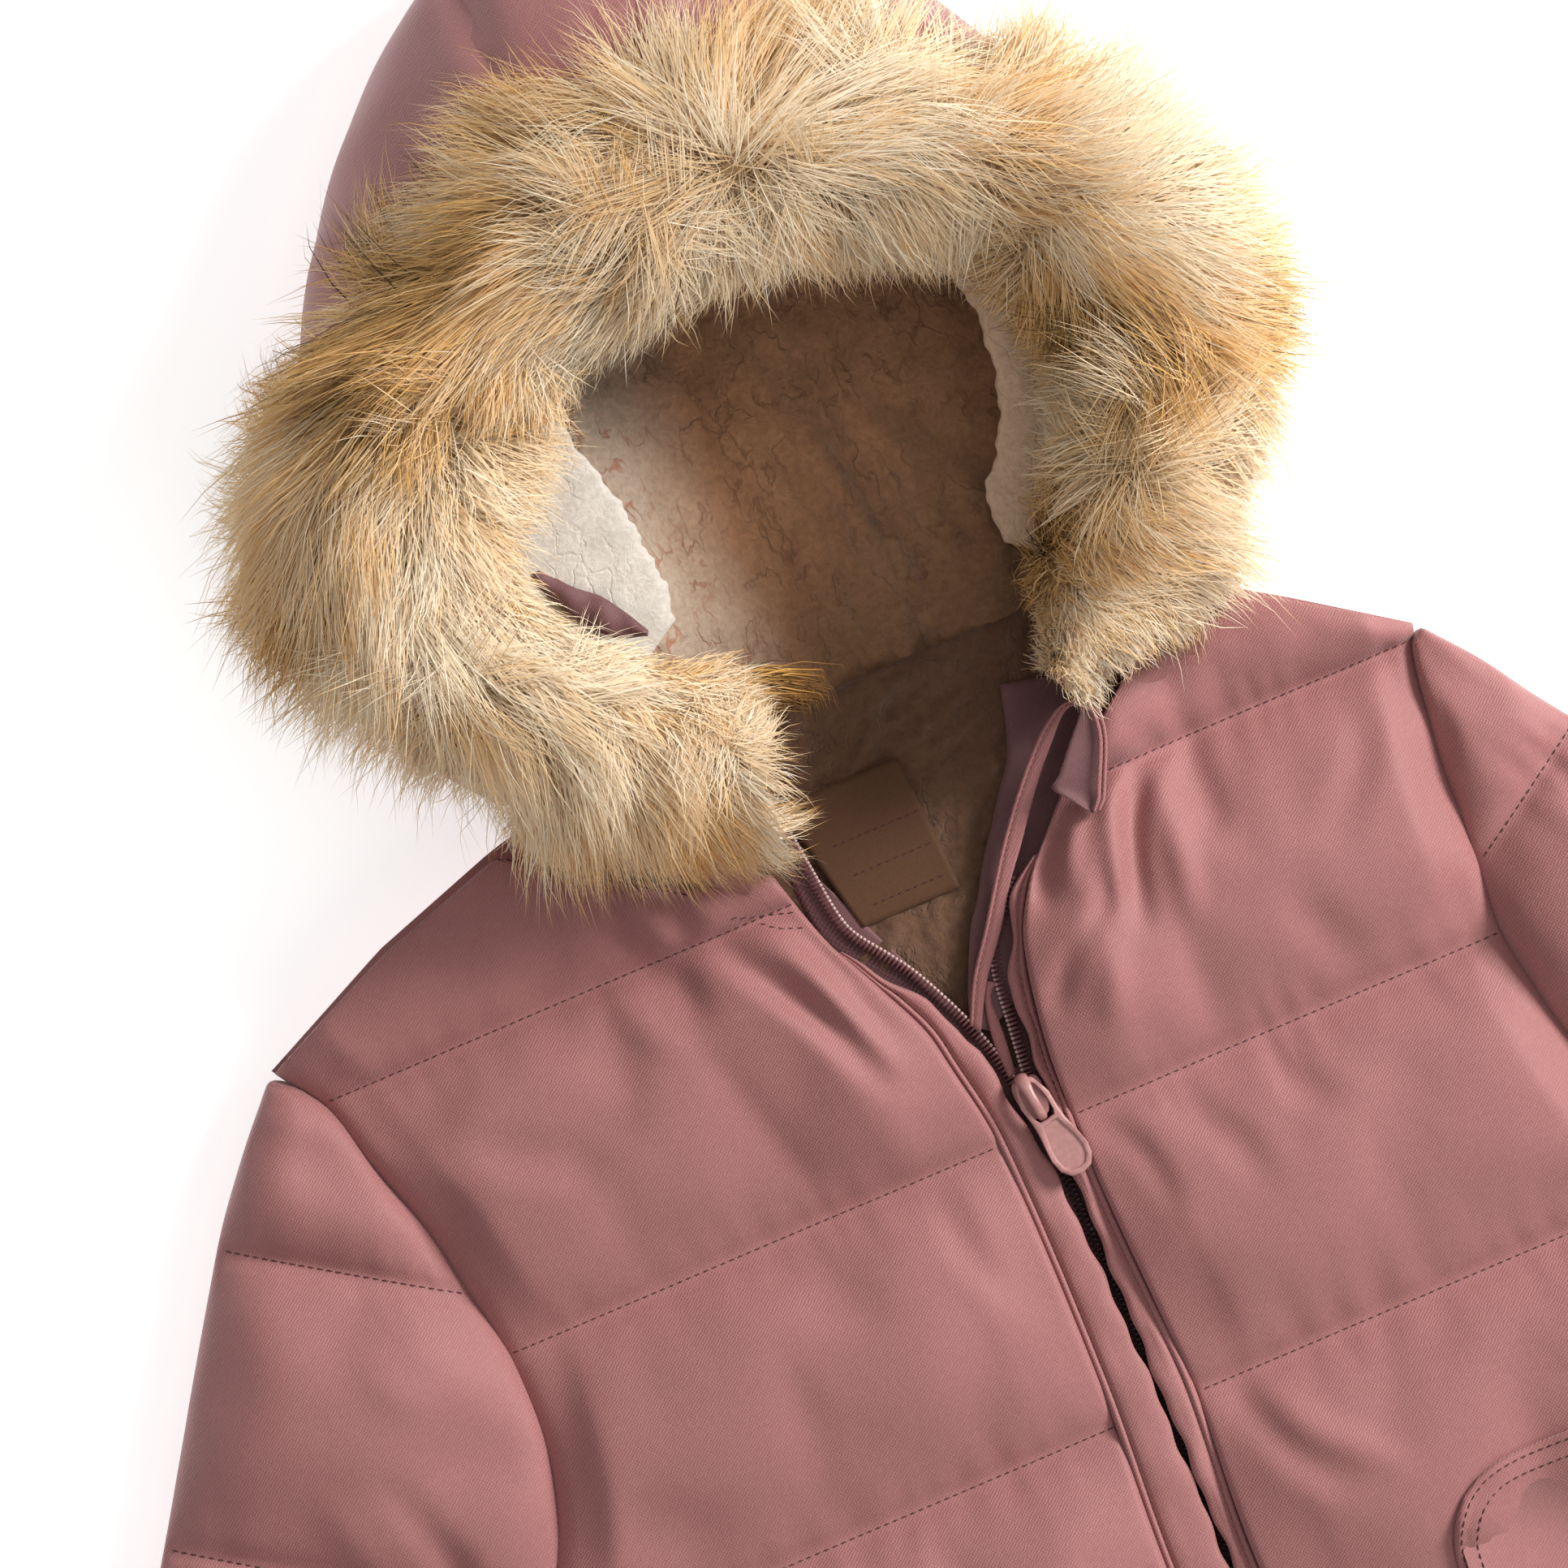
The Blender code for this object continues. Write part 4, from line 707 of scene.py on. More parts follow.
twill = make_twill_group()
pile = make_pile_group()
cloth = cloth_material("rose_twill", (0.325, 0.128, 0.122), (0.425, 0.182, 0.176))
# Darker copy of the rose twill for facings, the mauve patch and the guard's turned tip: painted shade.
shaded_facing_cloth = cloth_material("mauve_facing_painted_shade", (0.145, 0.060, 0.064), (0.20, 0.090, 0.094), yarn=0.5)
# Zip tape: its own dark maroon, darkened further to painted shade for the dark gaps beside the zip.
tape_and_shade_cloth = cloth_material("zip_tape_weave_and_painted_shade", (0.065, 0.022, 0.024), (0.12, 0.045, 0.048), (0.6, 0.75), 0.9, 0.05)
# Label ribbon darkened to painted shade.
shaded_label_cloth = cloth_material("tan_ribbon_painted_shade", (0.088, 0.038, 0.017), (0.118, 0.053, 0.025), (0.75, 0.9), 0.5, 0.03)
# Hood lining: the brown base tones are painted shade, the paler wall tones painted light.
sherpa = pile_material("sherpa_in_hood_painted_light_and_shade", (0.33, 0.155, 0.074), (0.50, 0.255, 0.128), (0.17, 0.065, 0.030),
                       560.0, 170.0, 0.5,
                       wall=((0.37, 0.265, 0.19), (0.52, 0.40, 0.305), (0.40, 0.13, 0.065)))
# Band sherpa in darker tan tones: painted shade, for the band's side under the fur.
shaded_band_sherpa = pile_material("band_sherpa_painted_shade", (0.60, 0.41, 0.27), (0.80, 0.58, 0.41), (0.35, 0.18, 0.10),
                             640.0, 150.0, 0.15, bump=0.5)
white_sherpa = pile_material("sherpa_band", (0.60, 0.55, 0.485), (0.76, 0.71, 0.64), (0.74, 0.64, 0.55),
                             760.0, 150.0, 0.12, bump=0.45)
# Neck sherpa darkened to painted shade.
shaded_neck_sherpa = pile_material("sherpa_at_neck_painted_shade", (0.095, 0.042, 0.021), (0.150, 0.070, 0.037), (0.11, 0.05, 0.03),
                            420.0, 170.0, 0.3)
hair = hair_material("cream_and_gold_fur")
undercoat = undercoat_material()
thread = thread_material()
enamel = paint_material("rose_enamel", (0.43, 0.20, 0.185), (0.50, 0.25, 0.235), 0.38)
coil_plastic = paint_material("coil_nylon", (0.17, 0.062, 0.068), (0.26, 0.11, 0.115), 0.30)
# Paler, glossier heads of the coil's turns: painted glint.
glint_head_plastic = paint_material("coil_heads_painted_glint", (0.50, 0.33, 0.32), (0.64, 0.45, 0.43), 0.22)
# Near-black nylon for the coil closed in the slit: painted shade.
shaded_slit_plastic = paint_material("coil_in_slit_painted_shade", (0.020, 0.008, 0.009), (0.035, 0.014, 0.015), 0.5)


# ---- camera, light and floor -----------------------------------------------------------------------
def set_stage():
    scene = bpy.context.scene
    turn = math.radians(23.1)
    camera = bpy.data.objects.new("camera", bpy.data.cameras.new("camera"))
    scene.collection.objects.link(camera)
    camera.data.sensor_width = 36.0
    camera.data.lens = 36.0 / 0.3513 * 1.5
    camera.data.clip_start, camera.data.clip_end = 0.05, 20.0
    right = Vector((math.cos(turn), -math.sin(turn), 0.0))
    up = Vector((math.sin(turn), math.cos(turn), 0.0))
    view = Matrix((right, up, Vector((0, 0, 1)))).transposed().to_4x4()
    view.translation = Vector((-0.0235, 0.0845, 1.55))
    camera.matrix_world = view
    scene.camera = camera
    scene.view_settings.view_transform = "Standard"
    world = bpy.data.worlds.new("studio")
    scene.world = world
    world.use_nodes = True
    world.node_tree.nodes["Background"].inputs[0].default_value = (1.0, 1.0, 1.0, 1.0)
    world.node_tree.nodes["Background"].inputs[1].default_value = 0.30
    lights = [("key", (1.78, 0.44, 1.13), 0.62, 55.0, (1.0, 0.98, 0.96)),
              ("fill", (0.3, 0.6, 2.3), 1.4, 5.5, (1.0, 0.98, 0.97)),
              ("low_glow", (0.5, -1.5, 1.4), 1.2, 7.0, (1.0, 0.96, 0.93))]
    for name, place, size, power, colour in lights:
        light = bpy.data.lights.new(name, "AREA")
        light.size = size
        light.energy = power
        light.color = colour
        lamp = bpy.data.objects.new(name, light)
        lamp.location = place
        lamp.rotation_mode = "QUATERNION"
        lamp.rotation_quaternion = (Vector((0, 0.05, 0.0)) - Vector(place)).to_track_quat("-Z", "Y")
        scene.collection.objects.link(lamp)
    size = 3000.0
    floor = mesh_piece("floor", [(-size, -size, -0.3), (size, -size, -0.3), (size, size, -0.3),
                                 (-size, size, -0.3)], [(0, 1, 2, 3)], floor_material(), smooth=False,
                       outward=False)


set_stage()


# ---- quilted fronts ---------------------------------------------------------------------------------
def outer_x(side, y):
    armhole = sorted((py, px) for px, py in ARMHOLE[side])
    return curve_value(SIDE_SEAM[side] if y <= armhole[0][0] else armhole, y)


def front_point(side, v, t):
    if v <= ROWS:
        y = HEM_Y + v * ROW
        x0, x1 = outer_x(side, y), curve_value(FRONT_EDGE[side], y)
        return x0 + (x1 - x0) * t, y
    x0, x1 = outer_x(side, YOKE_Y), curve_value(FRONT_EDGE[side], YOKE_Y)
    high = path_point(FRONT_TOP[side], t)
    f = v - ROWS
    low = (x0 + (x1 - x0) * t, YOKE_Y)
    return low[0] + (high[0] - low[0]) * f, low[1] + (high[1] - low[1]) * f


def front_height(v, t):
    f = v - math.floor(v) if v < ROWS else (v - ROWS) * 0.72
    edge = min(1.0, 0.30 + t / 0.12 * 0.70) * min(1.0, 0.62 + (1.0 - t) / 0.14 * 0.38)
    thin = 1.0 - 0.5 * max(0.0, 1.0 - t / 0.03) if v > 0.03 else 0.5
    return FRONT_UNDER + thin * SEAM_THICK + PUFF * dome(f, 0.62) * edge


def front_lift(v, t):
    near = max(0.0, 1.0 - (1.0 - t) / 0.35)
    return 4.6 * min(near * 2.0, 1.0) * min(max((v - 3.9) / 0.3, 0.0), 1.0)


def pucker(x, y, from_seam, seed, size=0.55, reach=11.0):
    """Soft gathers that run off a row of stitches and fade."""
    d = np.abs(from_seam)
    wave = np.sin(2 * math.pi * x / 9.0 + 2.2 * ripple(np.stack([x, y * 0.4], -1), 40.0, seed) + seed)
    strength = 0.6 + 0.4 * ripple(np.stack([x, y * 0.2], -1), 38.0, seed + 5)
    return size * wave * strength * (d / 3.5) * np.exp(1 - d / 3.5 * 1.0) * np.exp(-d / reach)


def make_front(side):
    hand = 1 if side == "left" else -1
    stops_t = np.r_[0.0, 0.012, 0.03, np.linspace(0.055, 0.945, 44), 0.97, 0.988, 1.0]
    stops_v = np.r_[np.linspace(0, ROWS, ROWS * 24 + 1), ROWS + np.linspace(0.07, 1.0, 12)]
    over, under = [], []
    for v in stops_v:
        plan = [front_point(side, v, t) for t in stops_t]
        lift = [front_lift(v, t) for t in stops_t]
        over.append([(x, y, front_height(v, t) + up) for (x, y), t, up in zip(plan, stops_t, lift)])
        under.append([(x, y, FRONT_UNDER + up) for (x, y), up in zip(plan, lift)])
    over, under = np.array(over), np.array(under)
    seam = np.abs((stops_v[:, None] + 0.5) % 1.0 - 0.5) * ROW * np.ones(len(stops_t))
    seam[stops_v > ROWS] = (stops_v[stops_v > ROWS, None] - ROWS) * 34.0
    x, y = over[..., 0], over[..., 1]
    over[..., 2] += pucker(x, y, seam, 3 + hand, 0.42 if side == "right" else 0.62) * smoothstep(seam, 0.5, 2.5)
    over[..., 2] += np.where(stops_v[:, None] > 2.0, crease_height(x, y, FRONT_FOLDS), 0.0)
    over[..., 2] += 0.30 * ripple(np.stack([x, y], -1), 46.0, 11) * smoothstep(seam, 2, 14)
    rows, cols = seam.shape
    count = rows * cols
    picked = np.linspace(0, cols - 1, 5).astype(int)
    low = under[:, picked]
    points = np.concatenate([over.reshape(-1, 3), low.reshape(-1, 3)])
    i = np.arange(rows - 1)
    rims = [np.stack([i * cols + j, (i + 1) * cols + j, count + (i + 1) * 5 + k, count + i * 5 + k], -1)
            for j, k in ((0, 0), (cols - 1, 4))]
    quads = np.concatenate([grid_quads(rows, cols), grid_quads(rows, 5, count), *rims]).tolist()
    for r in (0, rows - 1):
        quads.append([r * cols + j for j in range(cols)] + [count + r * 5 + k for k in range(4, -1, -1)])
    hold = np.zeros((rows, cols))
    hold[seam < 1.5] = 1.0
    hold[(seam >= 1.5) & (seam < 3.5)] = 0.3
    hold[0], hold[-1], hold[:, 0], hold[:, -1] = 1, 1, 1, 1
    hold[:, 1], hold[:, -2] = 0.6, 0.8
    pinned = np.concatenate([hold.ravel(), np.ones(rows * 5)])
    points = swell(points, quads, pinned, growth=0.025, pressure=2.5, cap=2.6)
    piece = mesh_piece(f"quilted_front_{side}", points, quads, cloth)
    subdivide(piece)
    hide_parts(f"front_{side}")
    return piece


# ---- sleeves ------------------------------------------------------------------------------------------
def sleeve_axes(side):
    hand = -1.0 if side == "right" else 1.0
    a = math.radians(SLEEVE_ANGLE)
    return (hand * math.sin(a), -math.cos(a)), (-hand * math.cos(a), -math.sin(a))


def sleeve_inner(side, along):
    axis, cross = sleeve_axes(side)
    seam = [(x * axis[0] + y * axis[1], x * cross[0] + y * cross[1]) for x, y in ARMHOLE[side]]
    if along <= seam[-1][0]:
        return curve_value(seam, along) + 1.6
    end = curve_value(seam, seam[-1][0]) + 1.6
    f = min((along - seam[-1][0]) / 25.0, 1.0)
    return end + (curve_value(SLEEVE_EDGES[side], along, 2) - end) * f


SLEEVE_FOLDS = {           # along, across at one end, then the other, half width, height
    "right": [(112, -128, 150, -96, 6, -2.2), (118, -140, 160, -112, 6, 1.6), (124, -110, 168, -92, 5, -2.0),
              (150, -150, 185, -120, 7, -1.6), (84, -140, 100, -122, 7, 1.0), (190, -160, 230, -130, 7, -1.4)],
    "left": [(58, -132, 90, -112, 5, -2.0), (66, -136, 100, -112, 5, 1.6), (78, -138, 116, -110, 6, -2.2),
             (100, -140, 140, -100, 6, 1.6), (150, -130, 190, -90, 7, -1.6)],
}


def make_sleeve(side):
    axis, cross = sleeve_axes(side)
    start, cuff = SLEEVE_EDGES[side][0][0] + 1.5, SLEEVE_EDGES[side][-1][0]
    first = SLEEVE_ROWS[side]
    stops = np.linspace(start, cuff, int((cuff - start) / 2.9))
    for row in np.arange(first, cuff - 8.0, ROW):
        stops[np.argmin(np.abs(stops - row))] = row
    top_t = (1 - np.cos(np.linspace(0, math.pi, 27))) / 2 * 0.6 + np.linspace(0, 1, 27) * 0.4
    low_t = top_t[::2]
    rings, seam = [], []
    for s in stops:
        c0, c1 = curve_value(SLEEVE_EDGES[side], s, 1), sleeve_inner(side, s)
        f = ((s - first) / ROW) % 1.0
        gap = min(f, 1 - f) * ROW if s > first - 20 else abs(s - first)
        if s < first:
            f = 1.0 - (first - s) / (first - start) * 0.8
        high = SLEEVE_TOP - PUFF + PUFF * dome(f, 0.62)
        end = min(s - stops[0], stops[-1] - s)
        high = SLEEVE_MID + 5.0 + (high - SLEEVE_MID - 5.0) * min(1.0, end / 9.0) ** 0.5
        narrow = min((c1 - c0) / 60.0, 1.0)
        high = SLEEVE_MID + 3.0 + (high - SLEEVE_MID - 3.0) * (0.4 + 0.6 * narrow)
        ring = []
        for t in top_t:
            bulge = 1.0 - abs(2 * t - 1.0) ** 3.2
            c = c0 + (c1 - c0) * t
            ring.append((s * axis[0] + c * cross[0], s * axis[1] + c * cross[1],
                         SLEEVE_MID + 1.0 + (high - SLEEVE_MID - 1.0) * bulge ** 0.6, s, c))
        for t in low_t[::-1]:
            rest = min(1.0, (1.0 - abs(2 * t - 1.0) ** 3.2) / 0.35)
            c = c0 + (c1 - c0) * t
            groove = 1.5 * max(0.0, 1.0 - gap / 5.0) * rest
            ring.append((s * axis[0] + c * cross[0], s * axis[1] + c * cross[1],
                         (SLEEVE_MID - 3.0) * (1.0 - rest) ** 1.5 + groove, s, c))
        rings.append(ring)
        seam.append(gap)
    rings, seam = np.array(rings), np.array(seam)
    rows, cols = rings.shape[:2]
    tops = len(top_t)
    s, c = rings[:, :tops, 3], rings[:, :tops, 4]
    gap = seam[:, None] * np.ones(tops)
    middle = smoothstep(np.minimum(top_t, 1 - top_t), 0.0, 0.12)[None, :]
    rings[:, :tops, 2] += pucker(c, s, gap, 17) * smoothstep(gap, 0.5, 2.5) * middle
    rings[:, :tops, 2] += crease_height(s, c, SLEEVE_FOLDS[side]) * middle
    rings[:, :tops, 2] += 0.4 * ripple(np.stack([s, c], -1), 44.0, 23) * middle * smoothstep(gap, 2, 14)
    points = rings[..., :3].reshape(-1, 3)
    # the cuff turns in and leaves its opening
    inner = []
    for depth, small in ((1.5, 0.86), (10.0, 0.84), (34.0, 0.84)):
        ring = rings[-1, :, :3].copy()
        middle_point = ring.mean(axis=0)
        ring = middle_point + (ring - middle_point) * [small, small, 0.32 if depth < 20 else 0.12]
        ring[:, 0] -= axis[0] * depth
        ring[:, 1] -= axis[1] * depth
        inner.append(ring)
    points = np.concatenate([points, np.concatenate(inner)])
    quads = grid_quads(rows + len(inner), cols, 0, True)
    hold = np.zeros((rows, cols))
    hold[:, tops:] = 1.0
    hold[:, 0] = hold[:, tops - 1] = 0.8
    hold[seam < 1.5, :] = 1.0
    hold[(seam >= 1.5) & (seam < 3.5), :] = np.maximum(hold[(seam >= 1.5) & (seam < 3.5), :], 0.3)
    hold[0], hold[-1] = 1.0, 1.0
    pinned = np.concatenate([hold.ravel(), np.ones(cols * len(inner))])
    ends = [list(range(cols)), list(range((rows + len(inner) - 1) * cols, (rows + len(inner)) * cols))]
    points = swell(points, [*quads.tolist(), *ends], pinned, growth=0.03, pressure=2.5, cap=3.0)
    points[:, 2] = np.maximum(points[:, 2], 0.0)
    piece = mesh_piece(f"quilted_sleeve_{side}", points, [*quads.tolist(), *ends], cloth)
    subdivide(piece)
    co = points_of(piece)
    co[:, 2] = np.maximum(co[:, 2], 0.0)
    set_points(piece, co)
    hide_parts(f"sleeve_{side}")
    return piece


# ---- back ------------------------------------------------------------------------------------------------
def back_point(v, t):
    if v <= ROWS:
        y = HEM_Y + v * ROW
        x0, x1 = outer_x("right", y), outer_x("left", y)
        return x0 + (x1 - x0) * t, y
    top = FRONT_TOP["right"][:3] + BACK_NECK + FRONT_TOP["left"][2::-1]
    x0, x1 = outer_x("right", YOKE_Y), outer_x("left", YOKE_Y)
    high = path_point(top, t)
    f = v - ROWS
    low = (x0 + (x1 - x0) * t, YOKE_Y)
    return low[0] + (high[0] - low[0]) * f, low[1] + (high[1] - low[1]) * f


def make_back():
    stops_t = np.r_[0.0, 0.006, 0.016, 0.03, np.linspace(0.05, 0.95, 60), 0.97, 0.984, 0.994, 1.0]
    stops_v = np.r_[0.0, 0.02, 0.05, np.linspace(0.1, ROWS, ROWS * 14), ROWS + np.linspace(0.12, 1.0, 7)]
    over, under = [], []
    for v in stops_v:
        seam = abs((v + 0.5) % 1.0 - 0.5) * ROW if v < ROWS + 0.01 else (v - ROWS) * 34.0
        edge_v = min(v / 0.10, 1.0, (ROWS + 1 - v) / 0.25)
        top_row, low_row = [], []
        for t in stops_t:
            x, y = back_point(v, t)
            edge = min(t / 0.03, (1 - t) / 0.03, 1.0, edge_v)
            rim = 4.6 * (1.0 - math.sqrt(max(0.0, 1 - (1 - edge) ** 2)))
            groove = 1.5 * max(0.0, 1.0 - seam / 4.5) ** 1.5 * (1 if 0.2 < v < ROWS + 0.3 else 0)
            wave = (0.5 * max(0.0, 1.0 - abs(seam - 6.0) / 6.0)
                    * (0.5 + 0.5 * math.sin(x * 0.55 + 2 * math.sin(x * 0.11))))
            top_row.append((x, y, BACK_TOP - 0.1 - (0.6 if edge < 0.5 else 0.0)))
            low_row.append((x, y, max(rim, groove + wave * (1 if groove or seam < 12 else 0))))
        over.append(top_row)
        under.append(low_row)
    piece = layer_mesh("quilted_back", np.array(over), np.array(under), cloth)
    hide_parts("back")
    return piece


# ---- hood -------------------------------------------------------------------------------------------------
def hood_row(angle):
    shell, rim, fur_in, fur_out = (curve_value(HOOD, angle, c) for c in (1, 2, 3, 4))
    on_floor = HOOD[2][0] <= angle <= HOOD[-3][0]
    foot = 0.0 if on_floor else max(curve_value(HOOD, angle, 5), 14.0)
    rim_z = RIM_LOW + (RIM_HIGH - RIM_LOW) * (1.0 + math.sin(math.radians(angle))) / 2.0
    return shell, rim, fur_in, fur_out, foot, rim_z


def hood_place(angle, r, z):
    a = math.radians(angle)
    return HOOD_CENTRE[0] + r * math.cos(a), HOOD_CENTRE[1] + r * math.sin(a), z


def hood_side(angle, f, inset):
    """Radius and height of the hood's wall: f runs from its foot to the front edge."""
    shell, rim, _, _, foot, rim_z = hood_row(angle)
    wide = shell - rim
    if foot > 6.0:
        keys = [(shell - 0.5, foot), (shell + (rim - shell) * 0.3, foot + (rim_z - foot) * 0.3 + 3.0),
                (shell + (rim - shell) * 0.6, foot + (rim_z - foot) * 0.6 + 3.0), (rim, rim_z)]
    else:
        keys = [(shell - 9.0, foot), (shell - 2.2, 8.0), (shell, 22.0), (shell - 6.0, 39.0 + 0.06 * wide),
                (rim + 0.5 * wide, rim_z - 1.0 + 0.04 * wide), (rim, rim_z)]
    table = [(i / (len(keys) - 1), *k) for i, k in enumerate(keys)]
    r, z = curve_value(table, f, 1), curve_value(table, f, 2)
    if inset:
        ahead = (curve_value(table, min(f + 0.01, 1.0), 1), curve_value(table, min(f + 0.01, 1.0), 2))
        back = (curve_value(table, max(f - 0.01, 0.0), 1), curve_value(table, max(f - 0.01, 0.0), 2))
        dr, dz = ahead[0] - back[0], ahead[1] - back[1]
        size = max(math.hypot(dr, dz), 1e-6)
        r, z = r - dz / size * inset, z + dr / size * inset
    return r, z


def neck_line(angle):
    """The point of the neck seam that a section of the hood's floor runs to."""
    f = (angle - HOOD[2][0]) / (HOOD[-3][0] - HOOD[2][0])
    x0, x1 = HOOD_NECK[0][0], HOOD_NECK[1][0]
    return x0 + (x1 - x0) * f, HOOD_NECK[0][1]


def split_by_x(name, points, quads, seams, material, suffixes):
    """One mesh parted into three along two lines of constant x."""
    points = points.copy()
    for x in seams:
        near = np.abs(points[:, 0] - x) < 1.1
        points[near, 0] = x
    middle = points[quads].mean(axis=1)[:, 0]
    pieces = []
    edges = (-1e9, *seams, 1e9)
    for k, suffix in enumerate(suffixes):
        mine = quads[(middle >= edges[k]) & (middle < edges[k + 1])]
        used, local = np.unique(mine, return_inverse=True)
        pieces.append(mesh_piece(f"{name}_{suffix}", points[used], local.reshape(-1, 4), material,
                                 outward=False))
    return pieces


def make_hood_shell():
    angles = np.r_[np.linspace(HOOD[0][0], HOOD[2][0] - 2.0, 14), np.linspace(HOOD[2][0], HOOD[-3][0], 112),
                   np.linspace(HOOD[-3][0] + 2.0, HOOD[-1][0], 16)]
    fs = np.linspace(0, 1, 26)
    grid = np.array([[hood_place(a, *hood_side(a, f, 0.0)) for f in fs] for a in angles])
    inner = np.array([[hood_place(a, *hood_side(a, f, SHELL_WALL)) for f in fs] for a in angles])
    floor_ids = [i for i, a in enumerate(angles) if HOOD[2][0] <= a <= HOOD[-3][0]]
    away = np.linalg.norm(grid[..., :2] - np.array(HOOD_CENTRE), axis=-1)
    out = np.stack([(grid[..., 0] - HOOD_CENTRE[0]) / away, (grid[..., 1] - HOOD_CENTRE[1]) / away,
                    np.full(away.shape, 0.5)], -1)
    dent = np.zeros(away.shape)
    for x in SHELL_SEAMS:
        d = np.abs(grid[..., 0] - x)
        dent -= 1.5 * np.exp(-(d / 2.2) ** 2)
        dent += 0.9 * np.exp(-((d - 7.0) / 6.0) ** 2)
        dent += 0.4 * np.sin(grid[..., 1] * 0.45 + grid[..., 2] * 0.3) * np.exp(-((d - 4.0) / 4.0) ** 2)
    dent += 0.9 * ripple(grid, 75.0, 31) + 0.3 * ripple(grid, 26.0, 32)
    dent *= smoothstep(fs, 0.05, 0.3)[None, :] * smoothstep(1 - fs, 0.0, 0.15)[None, :]
    grid = grid + out * dent[..., None]
    rows, cols = away.shape
    count = rows * cols
    floor = []
    for k, i in enumerate(floor_ids):
        foot = grid[i, 0]
        end = np.array([*neck_line(angles[i]), 0.0])
        floor.append([foot + (end - foot) * g for g in (0.25, 0.5, 0.75, 1.0)])
    floor = np.array(floor)
    start = 2 * count
    points = np.concatenate([grid.reshape(-1, 3), inner.reshape(-1, 3), floor.reshape(-1, 3)])
    quads = [grid_quads(rows, cols), grid_quads(rows, cols, count)[:, ::-1]]
    i = np.arange(rows - 1)
    quads.append(np.stack([i * cols + cols - 1, count + i * cols + cols - 1,
                           count + (i + 1) * cols + cols - 1, (i + 1) * cols + cols - 1], -1)[:, ::-1])
    foot_ids = np.array([i * cols for i in floor_ids])
    bottom = np.concatenate([foot_ids[:, None], start + np.arange(len(floor_ids) * 4).reshape(-1, 4)], axis=1)
    for j in range(4):
        quads.append(np.stack([bottom[:-1, j], bottom[:-1, j + 1], bottom[1:, j + 1], bottom[1:, j]], -1))
    ends = []
    for e in (0, rows - 1):
        j = np.arange(cols - 1)
        ends.append(np.stack([e * cols + j, e * cols + j + 1, count + e * cols + j + 1, count + e * cols + j], -1))
    cheeks = [k for k in range(rows - 1) if not (k in floor_ids and k + 1 in floor_ids)]
    k = np.array(cheeks)
    ends.append(np.stack([k * cols, (k + 1) * cols, count + (k + 1) * cols, count + k * cols], -1))
    quads = np.concatenate(quads + ends)
    pieces = split_by_x("hood_shell", points, quads, SHELL_SEAMS, cloth, ("right", "centre", "left"))
    for piece, node in zip(pieces, ("hood_right", "hood_centre", "hood_left")):
        subdivide(piece)
        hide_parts(node)
    return pieces


SHELL_SEAMS = (-21.0, 29.0)
LINING_SEAMS = (-26.0, 19.0)
LINING_FOLDS = [(11, 166, 20, 103, 7, 6.0), (24, 168, 34, 112, 8, 4.0), (-2, 176, 4, 112, 8, 3.2),
                (-34, 150, -20, 104, 8, 2.0), (0, 182, 8, 158, 8, 2.6), (36, 150, 46, 108, 7, 2.5),
                (-16, 176, -12, 128, 9, -1.4)]


def make_lining():
    """The sherpa inside the hood, from the front edge down the walls and over the floor."""
    angles = np.linspace(HOOD[0][0], HOOD[-1][0], 236)
    wall = np.linspace(1.0, 0.1, 28)
    floor_steps = np.linspace(0.0, 1.0, 62)[1:]
    rows = []
    for a in angles:
        side = [hood_place(a, *hood_side(a, f, LINING_IN + 3.6)) for f in wall]
        side = [(x, y, max(z, BACK_TOP + 2.4)) for x, y, z in side]
        foot = side[-1]
        b = min(max(a, HOOD[2][0]), HOOD[-3][0])
        x1, y1 = neck_line(b)
        ground = []
        for g in floor_steps:
            x, y = foot[0] + (x1 - foot[0]) * g, foot[1] + (y1 - foot[1]) * g
            ground.append((x, y, foot[2] + (BACK_TOP + 2.4 - foot[2]) * min(1.0, g * 3)))
        rows.append(side + ground)
    grid = np.array(rows)
    x, y = grid[..., 0], grid[..., 1]
    flat = smoothstep(np.arange(grid.shape[1]), len(wall) - 6, len(wall) + 8)[None, :]
    up = crease_height(x, y, LINING_FOLDS) * flat
    for seam in LINING_SEAMS:
        up = up - (2.6 if seam > 0 else 0.8) * np.exp(-((x - seam) / 2.2) ** 2) * flat
    lean = 0.78 * np.clip(-9.0 - x, 0.0, 27.0) * smoothstep(y, 98.0, 124.0) * (1 - smoothstep(y, 196.0, 214.0))
    lean = np.minimum(lean, np.maximum(33.0 - grid[..., 2], 0.0)) * flat
    up = up + 0.5 * ripple(grid, 18.0, 41) + 0.26 * ripple(grid, 6.5, 42) + 0.22 * ripple(grid, 3.4, 43)
    middle = np.array([*HOOD_CENTRE, 0.0])
    inward = middle - grid
    inward[..., 2] = 0.0
    inward /= np.linalg.norm(inward, axis=-1, keepdims=True) + 1e-6
    push = inward * (1 - flat[..., None]) + np.array([0.0, 0.0, 1.0]) * (0.35 + 0.65 * flat[..., None])
    grid = grid + push * up[..., None]
    grid[..., 2] += lean
    quads = grid_quads(*grid.shape[:2])
    pieces = split_by_x("curly_lining", grid.reshape(-1, 3), quads, LINING_SEAMS, sherpa,
                        ("right", "centre", "left"))
    nodes = ("hood_lining_right", "hood_lining_centre", "hood_lining_left")
    for piece, node in zip(pieces, nodes):
        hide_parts(node)
    return pieces


